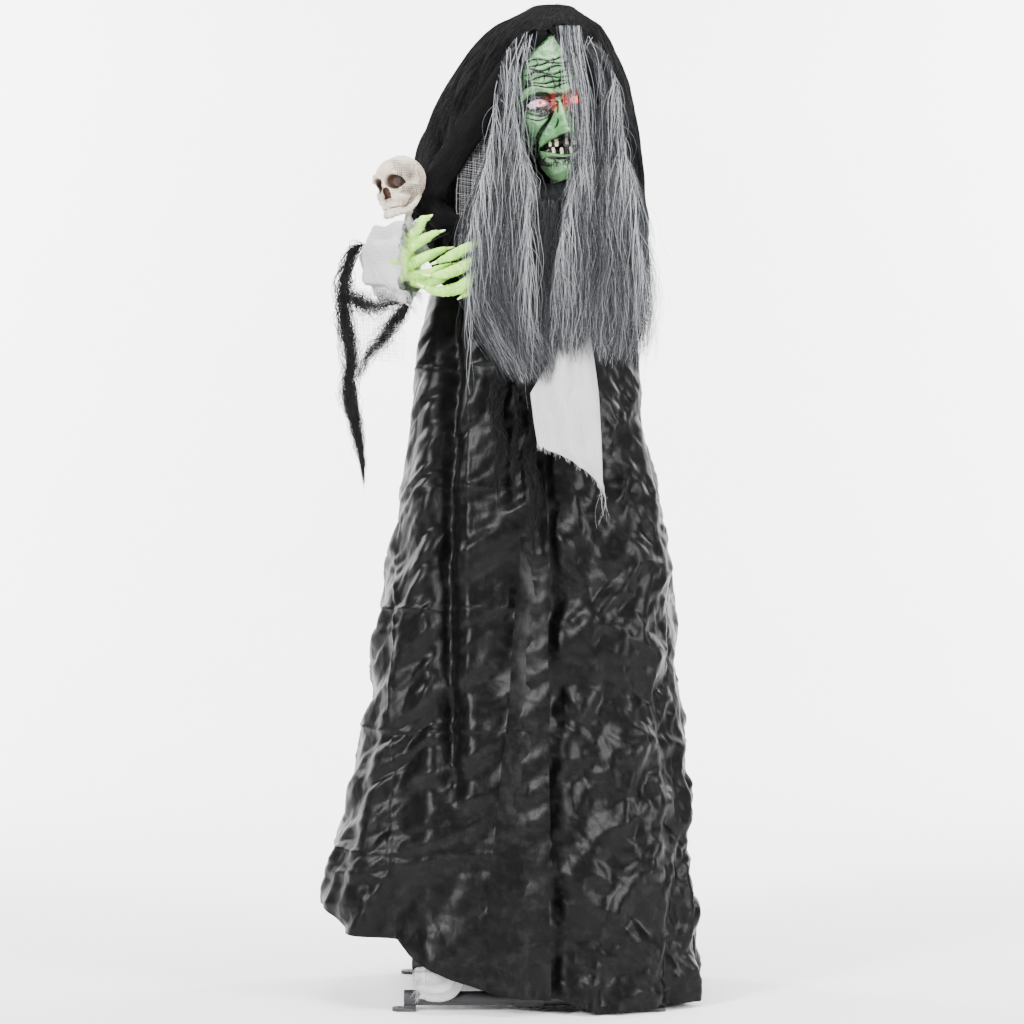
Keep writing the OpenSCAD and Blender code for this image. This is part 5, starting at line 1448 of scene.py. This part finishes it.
def hand_values(mesh, fingers, knuckles):
    """Wrinkles over the joints, ridges along the back and long pale nails."""
    p = points_of(mesh) / MM
    n = normals_of(mesh)
    crease, nail, move = np.zeros(len(p)), np.zeros(len(p)), np.zeros(len(p))
    for finger in fingers:
        path = spline(finger, 6)
        centre = path[:, :3] + [0, 0, SHOULDER_Z]
        away = np.linalg.norm(p[:, None] - centre[None], axis=-1) - path[None, :, 3]
        near = away.argmin(1)
        share = near / (len(path) - 1.0)
        close = away.min(1) < 4
        tip = ease((share - 0.80) / 0.05) * close
        nail = np.maximum(nail, tip)
        move += -0.5 * bump(share - 0.81, 0.03) * close
        crease = np.maximum(crease, bump(share - 0.80, 0.025) * close * 0.9)
        along = np.gradient(centre, axis=0)
        exact = (
            share * (len(path) - 1) + ((p - centre[near]) * along[near]).sum(1) / (along[near] ** 2).sum(1)
        )
        for joint in knuckles:
            u = (exact / (len(path) - 1.0) - joint) * 26
            ring = np.sin(u * 3.1) ** 10 * bump(u, 1.4) * close
            crease = np.maximum(crease, ring * 0.55)
            move += (1.0 * bump(u, 1.7) - 1.1 * ring) * close
    grain = (
        soft_noise(p[:, 0] / 3.2 + p[:, 1] / 7, p[:, 2] / 3.2, 5)
        + 0.6 * soft_noise(p[:, 0] / 1.4, p[:, 2] / 1.4 + p[:, 1] / 4, 9)
    )
    vein = bump(np.abs(soft_noise(p[:, 0] / 17 + 4, p[:, 2] / 11, 15)), 0.12)
    palm = 1 - np.clip(nail, 0, 1)
    move += palm * (0.25 * grain + 0.9 * vein)
    crease = np.maximum(crease, palm * 0.65
        * bump(np.abs(soft_noise(p[:, 0] / 6 + p[:, 1] / 9, p[:, 2] / 9, 25)), 0.10))
    move_points(mesh, (p + n * move[:, None]) * MM)
    add_values(mesh, crease=np.clip(crease, 0, 1), nail=nail)


RIGHT_FINGERS = [
    [(-192, -206, -68, 9), (-178, -212, -52, 9), (-165, -214, -38, 7.5), (-158, -215, -25, 7),
    (-147, -216, -19, 4), (-139, -216, -14, 1.2)],
    [(-200, -208, -84, 9), (-180, -214, -72, 9), (-158, -216, -59, 8), (-142, -216, -50, 6),
    (-129, -216, -45, 3.6), (-116, -216, -41, 1)],
    [(-197, -208, -104, 9), (-172, -215, -98, 9), (-150, -217, -88, 8), (-131, -216, -80, 6),
    (-116, -216, -75, 3.6), (-101, -216, -71, 1)],
    [(-190, -208, -120, 9), (-160, -215, -122, 9), (-140, -217, -116, 7.5), (-120, -216, -108, 6),
    (-106, -216, -103, 3.6), (-90, -216, -99, 1)],
    [(-178, -206, -130, 8), (-150, -212, -136, 8), (-131, -215, -131, 6.5), (-114, -216, -122, 5),
    (-100, -216, -116, 3), (-86, -216, -111, 1)]]
LEFT_FINGERS = [
    [(-40, -237, -72, 10), (-62, -239, -72, 10), (-91, -240, -82, 8.5), (-112, -240, -92, 7),
    (-130, -240, -99, 4), (-146, -240, -106, 1)],
    [(-44, -237, -92, 10), (-66, -242, -99, 10), (-95, -243, -113, 9), (-122, -243, -122, 7.5),
    (-140, -243, -124, 4), (-158, -242, -122, 1)],
    [(-44, -237, -108, 11), (-66, -240, -127, 10.5), (-97, -241, -147, 9.5), (-134, -241, -151, 7),
    (-152, -240, -145, 4), (-168, -240, -137, 1)],
    [(-40, -235, -122, 9), (-54, -237, -138, 9), (-70, -237, -150, 7), (-84, -237, -158, 4),
    (-97, -237, -166, 1)]]


def make_hands():
    palm = (
        finger_tube([(-214, -178, -92, 19), (-203, -192, -96, 22), (-192, -204, -100, 30),
        (-180, -211, -103, 22)], 24)
    )
    mesh = soft_body("right_hand_skin", [palm] + [finger_tube(f) for f in RIGHT_FINGERS], [], 0.0013, 5)
    hand_values(mesh, RIGHT_FINGERS, (0.2, 0.48))
    mesh.materials.append(HAND)
    thing = link(mesh)
    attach(thing, "right_arm")
    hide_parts("right_hand")
    palm = (
        finger_tube([(8, -226, -103, 17), (-10, -230, -103, 18), (-32, -235, -98, 30),
        (-52, -238, -97, 24)], 24)
    )
    palm["flat"] = 1.5
    palm["up"] = (0, 0, 1)
    palm["radii"] = palm["radii"] * 0.62
    mesh = soft_body("left_hand_skin", [palm] + [finger_tube(f) for f in LEFT_FINGERS], [], 0.0013, 5)
    hand_values(mesh, LEFT_FINGERS, (0.2, 0.48))
    mesh.materials.append(HAND)
    thing = link(mesh)
    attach(thing, "left_arm")
    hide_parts("left_hand")


# ---------- skull ----------
SKULL_LOW, SKULL_HIGH = box_mm("skull")
SKULL_PLACE = (
    np.array([(SKULL_LOW[0] + SKULL_HIGH[0]) / 2, (SKULL_LOW[1] + SKULL_HIGH[1]) / 2, SKULL_HIGH[2] - 46.5])
)


def turned(p, axis, degrees):
    c, s = math.cos(math.radians(degrees)), math.sin(math.radians(degrees))
    x, y, z = p[..., 0], p[..., 1], p[..., 2]
    if axis == "x":
        return np.stack([x, y * c - z * s, y * s + z * c], -1)
    if axis == "y":
        return np.stack([x * c + z * s, y, -x * s + z * c], -1)
    return np.stack([x * c - y * s, x * s + y * c, z], -1)


def skull_place(p, undo=False):
    if undo:
        return turned(turned(turned(p - SKULL_PLACE, "z", 36), "y", 10), "x", -6)
    return turned(turned(turned(p, "x", 6), "y", -10), "z", -36) + SKULL_PLACE


def skull_tube(points, radii, sides=14, flat=1.0):
    return dict(points=skull_place(np.array(points, float)) * MM, radii=np.array(radii, float) * MM,
        sides=sides, flat=flat)


def tooth_row(z, count, length, radius, reach):
    rows = []
    for k in range(count):
        a = math.radians((k - (count - 1) / 2) * 14.5)
        x, y = 23.5 * math.sin(a), -22 - 23.5 * math.cos(a) - reach
        rows.append(skull_tube([(x, y, z), (x, y - 0.6, z - length * 0.5), (x, y, z - length)],
            [radius * 0.8, radius, radius * 0.75], 10))
    return rows


def make_skull():
    tubes = [skull_tube([(s * 20, -38, -16), (s * 32, -24, -17), (s * 40, -4, -13)], [6.5, 7, 5])
        for s in (-1, 1)]
    tubes += [skull_tube([(s * 6, -47, 9), (s * 19, -46, 13), (s * 33, -34, 6)], [4, 4.8, 4])
        for s in (-1, 1)]
    tubes += [skull_tube([(0, -48, 4), (0, -50, -6), (0, -50, -13)], [3.5, 3.8, 3.0])]
    tubes += [skull_tube([(s * 8, -46, -34), (s * 20, -34, -33), (s * 27, -20, -30)], [8, 8.5, 8])
        for s in (-1, 1)]
    tubes += [skull_tube([(s * 17, -42, -22), (s * 16, -40, -30)], [8, 8]) for s in (-1, 1)]
    tubes += tooth_row(-37, 9, 11, 3.5, 2.2)
    ball = lambda centre, r: (skull_place(np.array(centre, float)) * MM, r * MM)
    balls = [ball((0, 5, 2), 44), ball((0, -14, 4), 37), ball((0, 12, -4), 38), ball((0, -24, -12), 26),
        ball((0, -20, -32), 22)]
    mesh = soft_body("skull_bone", tubes, balls, 0.0011, 2)
    finish_bone(mesh, True)
    thing = link(mesh)
    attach(thing, "right_arm")
    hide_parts("skull")
    tubes = [skull_tube([(0, -44, -58), (16, -39, -58), (24, -26, -57), (32, -14, -48), (41, -5, -34)],
        [7, 6.5, 6, 5, 4]),
             skull_tube([(0, -44, -58), (-16, -39, -58), (-24, -26, -57), (-32, -14, -48),
             (-41, -5, -34)], [7, 6.5, 6, 5, 4])]
    tubes += tooth_row(-49.5, 8, 9, 3.1, 1.4)
    mesh = soft_body("skull_jaw_bone", tubes, [ball((0, -46, -60), 7)], 0.0011, 3)
    finish_bone(mesh, False)
    thing = link(mesh)
    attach(thing, "skull_jaw")
    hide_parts("skull_jaw")


def finish_bone(mesh, upper):
    p = skull_place(points_of(mesh) / MM, True)
    wash = np.zeros(len(p))
    inward = np.zeros((len(p), 3))
    if upper:
        front = ease((-p[:, 1] - 14) / 14)
        for s in (-1, 1):
            away = np.hypot((p[:, 0] - s * 17.5) / 14.0, (p[:, 2] + 4 + 0.12 * s * (p[:, 0] - s * 17)) / 13.0)
            pit = ease((1.12 - away) / 0.42) * front
            inward[:, 1] += 19 * pit
            wash = np.maximum(wash, ease((1.25 - away) / 0.5) * front)
            hollow = bump(np.hypot(p[:, 0] - s * 40, (p[:, 2] - 4)) / 14, 1) * bump((p[:, 1] + 14) / 16, 1)
            inward[:, 0] -= s * 4 * hollow
            wash = np.maximum(wash, 0.55 * hollow)
        nose = np.maximum(np.abs(p[:, 0]) / 7.5 + np.maximum(p[:, 2] + 16, 0) / 9, np.abs(p[:, 2] + 21) / 9.5)
        pit = ease((1.1 - nose) / 0.4) * front
        inward[:, 1] += 9 * pit
        wash = np.maximum(wash, ease((1.3 - nose) / 0.5) * front)
        wash = np.maximum(wash, 0.5 * ease((-p[:, 2] - 24) / 8)
            * bump(np.sin((np.degrees(np.arctan2(p[:, 0], -p[:, 1] - 22)) / 14.5 + 0.0) * np.pi), 0.35))
    else:
        wash = np.maximum(wash,
            0.55 * bump(np.sin((np.degrees(np.arctan2(p[:, 0], -p[:, 1] - 22)) / 14.5 + 0.5) * np.pi),
            0.35) * ease((p[:, 2] + 60) / 5))
    crack = bump(np.abs(soft_noise(p[:, 0] / 19 + 3, p[:, 2] / 15 + p[:, 1] / 19, 9)), 0.045)
    wash = np.maximum(wash, 0.42 * crack)
    n = unit(p - np.array([0, 2, -2.0]))
    bumps = 0.5 * cloudy(p[:, 0] / 9 + p[:, 1] / 13, p[:, 2] / 9, 11, 3) - 0.7 * crack
    moved = p + inward + n * bumps[:, None]
    move_points(mesh, skull_place(moved) * MM)
    add_values(mesh, wash=np.clip(wash, 0, 1))
    mesh.materials.append(BONE)


# ---------- cuffs, leg covers, rag, strips and net ----------
def sleeve(name, path, flat, up, material, body, node, rows, columns, seed, fold=0.10):
    """A loose open-ended sleeve of gauze with folds along it; path holds x, y, z and radius."""
    rows, columns = ((rows, columns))
    smooth = spline(path, 24)
    pick = np.linspace(0, len(smooth) - 1, rows)
    p = np.stack([np.interp(pick, np.arange(len(smooth)), smooth[:, k]) for k in range(4)], -1)
    along = unit(np.gradient(p[:, :3], axis=0))
    side = unit(np.cross(np.array(up, float), along))
    other = np.cross(along, side)
    turn = (-2 * np.pi * np.linspace(0, 1, columns))[None, :]
    s = np.linspace(0, 1, rows)[:, None]
    cx, sx = np.cos(turn), np.sin(turn)
    folds = fold * np.sin(turn * 7 + 1.5 * np.sin(s * 5 + seed)) * ease(s * 2 + 0.2)
    folds = (
        folds + 0.6 * fold * soft_noise(cx * 3.1 + 5, sx * 3.1 + s * 7, seed)
        + 0.45 * fold * creased(cx * 5 + s * 3, sx * 5 + s * 9, seed + 2)
    )
    folds = folds + 0.16 * fold * creased(cx * 13, sx * 13 + s * 22, seed + 4)
    r = p[:, None, 3] * (1 + folds)
    ragged = 5 * soft_noise(cx * 6, sx * 6, seed + 6)
    grid = p[:, None, :3] + (r * cx)[..., None] * side[:, None] + (r * flat * sx)[..., None] * other[:, None]
    grid = grid + along[:, None] * (ragged * ease((s - 0.85) / 0.15))[..., None]
    thing = cloth_piece(name, grid * MM, material)
    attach(thing, body)
    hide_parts(node)
    say_sheet(grid[::4, ::3])
    return grid, along


def frayed_end(name, grid, way, body, thread, count, length, seed, width=0.0003):
    rng = np.random.default_rng(seed)
    edge = grid[-1]
    count = count
    roots = edge[rng.integers(len(edge), size=count)] + rng.normal(0, 0.8, (count, 3))
    ways = np.broadcast_to(np.array(way, float), (count, 3))
    thing = loose_threads(name, roots, ways, rng.uniform(0.3, 1.0, count) * length, thread, width, seed)
    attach(thing, body)


def make_sleeves():
    z = SHOULDER_Z
    grid, _ = sleeve("right_cuff_cloth",
        [(-236, -118, z - 88, 17), (-243, -138, z - 92, 27), (-228, -172, z - 94, 35),
        (-198, -197, z - 96, 39),
                     (-177, -210, z - 97, 41)], 1.72, (0, 0, 1), PALE_GAUZE, "right_arm",
                     "right_cuff", 150, 190, 11, 0.13)
    frayed_end("right_cuff_threads", grid, (0.8, -0.3, -0.4), "right_arm", PALE_THREAD, 420,
        26, 3)
    make_left_cuff()
    for name, side in (("right_leg_cover", -1), ("left_leg_cover", 1)):
        low, high = box_mm(name)
        path = [(STAND_X + side * 90, -14, high[2], 38), (STAND_X + side * 92, -60, high[2] * 0.62, 40),
            (STAND_X + side * 126, -150, 200, 38),
                (STAND_X + side * 142, -181, 96, 37), (STAND_X + side * 150, -195, 53, 34)]
        end = low[0] if side < 0 else high[0]
        path += [(end - side * 12, -195, 48, 28), (end, -195, 47, 27)]
        grid, _ = sleeve(name + "_cloth", path, 1.0, (0, 1, 0), PALE_GAUZE, "stand", name,
            160, 110, 31 + side, 0.09)
        frayed_end(name + "_threads", grid, (side * 0.8, 0, -0.5), "stand", PALE_THREAD,
            160, 16 if side < 0 else 4, 13 + side)


def make_left_cuff():
    """The left sleeve end: flat gauze below the hand, cut on a slant, front and back layer in one."""
    rows, columns = ((160, 190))
    left = [(900, 152), (935, 128), (960, 88), (992, 46), (1040, 38), (1090, 32), (1118, 48), (1160, 72),
        (1215, 92), (1290, 98)]
    right = [(900, 160), (1000, 157), (1090, 152), (1160, 143), (1215, 134), (1290, 128)]
    turn = (-2 * np.pi * np.linspace(0, 1, columns))[None, :]
    s = np.linspace(0, 1, rows)[:, None]
    cx, sx = np.cos(turn), np.sin(turn)
    across = (1 - cx) / 2
    bottom = mix(996.0, 930.0, ease(across * 1.15)) + 5 * soft_noise(cx * 7, sx * 7, 5)
    z = mix(1288.0, bottom, s)
    l, r = curve_at(left, z), curve_at(right, z)
    x = mix(l, r, across)
    thick = 7 + 7 * ease(s * 1.5)
    folds = (
        5.0 * np.sin(across * 13 + 2.2 * np.sin(z / 90)) * ease(s * 2)
        + 4 * creased(across * 3.2 + z / 210, z / 80, 7) * ease(s * 1.6 + 0.2)
    )
    folds = folds + 1.5 * creased(across * 9, z / 24, 17)
    y = -236 - thick * sx * np.sqrt(np.clip(4 * across * (1 - across), 0, 1)) ** 0.5 + folds
    grid = np.stack(np.broadcast_arrays(x, y, z), -1)
    thing = cloth_piece("left_cuff_cloth", grid * MM, PALE_GAUZE)
    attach(thing, "left_arm")
    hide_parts("left_cuff")
    say_sheet(grid[::4, ::3])
    frayed_end("left_cuff_threads", grid, (0.2, -0.1, -1), "left_arm", PALE_THREAD, 150, 9, 5)
    frayed_end("left_cuff_long_threads", grid[:, columns // 3: columns // 2], (0.2, -0.1, -1), "left_arm",
        PALE_THREAD, 14, 60, 6)


STAND_X = (box_mm("base_spine_tube")[0][0] + box_mm("base_spine_tube")[1][0]) / 2


def clump_paths(rng, path, radii, count, steps=34, wander=0.85):
    """Tangled threads that follow one thick path."""
    smooth = spline(path, 12)
    pick = np.linspace(0, len(smooth) - 1, steps)
    line = np.stack([np.interp(pick, np.arange(len(smooth)), smooth[:, k]) for k in range(3)], -1)
    wide = np.interp(np.linspace(0, 1, steps), np.linspace(0, 1, len(radii)), radii)
    s = np.linspace(0, 1, steps)[None, :]
    turn = rng.uniform(0, 6.28, (count, 1)) + s * rng.normal(0, 7, (count, 1))
    reach = (
        wide[None, :] * np.sqrt(rng.uniform(0, 1, (count, 1)))
        * (1 + wander * np.sin(s * rng.uniform(9, 40, (count, 1)) + turn))
    )
    slide = rng.normal(0, 11, (count, 1)) * np.sin(s * rng.uniform(4, 18, (count, 1)))
    first = np.abs(rng.normal(0, 0.22, (count, 1)))
    last = 1 - np.abs(rng.normal(0, 0.22, (count, 1)))
    t = np.clip(mix(first, last, s), 0, 1) * (steps - 1)
    at = np.stack([np.interp(t.ravel(), np.arange(steps), line[:, k]).reshape(t.shape) for k in range(3)], -1)
    at[..., 0] += reach * np.cos(turn)
    at[..., 1] += reach * 0.6 * np.sin(turn)
    at[..., 2] += slide
    return at


def thread_clump(name, path, radii, count, body, seed, width=0.00045):
    rng = np.random.default_rng(seed)
    paths = clump_paths(rng, path, radii, count)
    tone = np.broadcast_to(rng.uniform(0, 1, (len(paths), 1)), paths.shape[:2])
    thing = strands(name, paths * MM, BLACK_THREAD, width, 0.003, tone=tone)
    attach(thing, body)
    return thing


def make_rag():
    """Black gauze caught on the right sleeve: a see-through net between two edges that drip to a point."""
    z = SHOULDER_Z
    outer = [(-262, -172, z - 62), (-284, -178, z - 76), (-298, -180, z - 130), (-297, -178, z - 200),
        (-286, -176, z - 270),
             (-292, -174, z - 330), (-277, -172, z - 390), (-268, -171, z - 440), (-262, -170, z - 488)]
    inner = [(-186, -208, z - 150), (-190, -204, z - 178), (-210, -196, z - 205), (-228, -188, z - 232),
        (-256, -182, z - 262),
             (-272, -176, z - 300)]
    hem = [(-292, -180, z - 150), (-270, -196, z - 168), (-235, -208, z - 176), (-196, -212, z - 168)]
    thing = thread_clump("right_rag_outer", outer, [4, 9, 14, 9, 15, 8, 11, 5, 2], 330, "right_arm", 51)
    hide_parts("right_rag")
    thread_clump("right_rag_inner", inner, [4, 10, 8, 12, 7, 6], 210, "right_arm", 53)
    thread_clump("right_rag_hem", hem, [7, 5, 5, 7], 120, "right_arm", 55)
    thread_clump("right_rag_tail",
        [(-292, -176, z - 300), (-284, -174, z - 350), (-272, -172, z - 410), (-262, -171, z - 470)],
        [8, 9, 7, 3], 240, "right_arm", 57)
    net = thread_net("right_rag_net", (-292, -184, z - 140), (-192, -208, z - 150), (-288, -178, z - 262),
        20, 22, BLACK_THREAD, 0.00022, 59)
    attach(net, "right_arm")
    veil = thread_net("right_rag_veil", (-288, -181, z - 142), (-200, -204, z - 152),
        (-284, -176, z - 250), 30, 34, PALE_THREAD, 0.00016, 61)
    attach(veil, "right_arm")


def make_strips():
    """Narrow strips of ragged black gauze that hang in front of the robe."""
    low, high = box_mm("gauze_strips")

    def front(z):
        t = np.clip((ROBE_HIGH[2] - z) / (ROBE_HIGH[2] - ROBE_LOW[2]), 0, 1)
        return max(robe_surface(np.array([268.0]), np.array([t]))[0, 1] - 24, ROBE_LOW[1] - 6)

    strips = [("gauze_strip_1",
        [(-30, high[2]), (-20, 1120), (-31, 1060), (-18, 1000), (-27, 950), (-22, 905)],
        [6, 10, 7, 10, 6, 2], 230),
              ("gauze_strip_2", [(30, 1102), (44, 1040), (30, 980), (42, 920), (36, 860), (40, low[2])],
              [6, 10, 7, 9, 6, 2], 230),
              ("gauze_strip_3", [(2, 1110), (10, 1030), (2, 960), (8, 900)], [4, 6, 5, 2], 90)]
    for k, (name, path, radii, count) in enumerate(strips):
        thing = thread_clump(name, [(x, front(z), z) for x, z in path], radii, count, "stand", 37 + k)
        if k == 0:
            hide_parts("gauze_strips")


def make_net():
    low, high = box_mm("net_panel")
    thing = thread_net("shoulder_net", (low[0] + 4, low[1] + 22, high[2]),
        (high[0] + 14, low[1] + 26, high[2] - 8), (low[0] - 2, low[1] + 6, low[2] - 6),
                       22, 60, NET_THREAD, 0.00035, 3)
    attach(thing, "stand")
    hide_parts("net_panel")
    z = SHOULDER_Z
    thing = thread_net("skull_net", (-214, -208, z + 84), (-160, -206, z + 80), (-206, -210, z + 26), 17,
        20, BLACK_THREAD, 0.0003, 9,
                       bow=lambda u, v: 14 * (2 * u - 1) ** 2 + 10 * (2 * v - 1) ** 2)
    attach(thing, "right_arm")


# ---------- room ----------
def make_room():
    s = Shader("pale_floor")
    s.set("Base Color", s.blend(rgb(0.90, 0.90, 0.90), rgb(0.93, 0.93, 0.93), s.noise(3.0)))
    s.set("Roughness", 0.75)
    s.relief(s.noise(140.0), 0.0003, 0.15)
    bend, start = 2.6, 3.4
    turn = np.radians(np.linspace(0, 90, 60))
    y = np.concatenate([[-9.0, -2.0], start + bend * np.sin(turn), [start + bend]])
    z = np.concatenate([[0.0, 0.0], bend * (1 - np.cos(turn)), [5.5]])
    grid = (
        np.stack([np.stack([np.array([-9.0, 9.0]), np.full(2, a), np.full(2, b)], -1) for a, b in zip(y, z)])
    )
    mesh = fill_mesh("floor_and_wall", grid[:, ::-1], grid_faces(len(y), 2))
    mesh.materials.append(s.material)
    link(mesh)
    add_light("key", (-2.5, -3.2, 2.6), (0, 0, 1.0), (0.9, 1.7), 420)
    add_light("fill", (2.9, -2.6, 1.7), (0, 0, 0.9), (0.8, 1.9), 250)
    add_light("top", (0.2, -0.6, 3.9), (0, 0, 0.6), (2.0, 1.4), 200)
    add_light("backdrop_left", (-3.9, 2.6, 3.4), (-0.9, 5.9, 1.4), (1.6, 2.6), 900)
    add_light("backdrop_right", (3.9, 2.6, 3.4), (0.9, 5.9, 1.4), (1.6, 2.6), 900)
    world = bpy.data.worlds.new("room") if SCENE.world is None else SCENE.world
    SCENE.world = world
    world.use_nodes = True
    ground = world.node_tree.nodes.get("Background") or world.node_tree.nodes.new("ShaderNodeBackground")
    ground.inputs[0].default_value = rgb(0.94, 0.95, 0.97)
    ground.inputs[1].default_value = 0.14


CAD_NODES = {name: [thing] for name, thing in frame["nodes"].items()}
dress_plain_parts()
make_robe()
hood_points, hood_angles = make_hood()
fuzz_on_hood(hood_points)
make_lining()
make_hair()
make_mask()
make_eyes()
make_teeth()
make_hands()
make_skull()
make_sleeves()
make_rag()
make_strips()
make_net()
make_room()
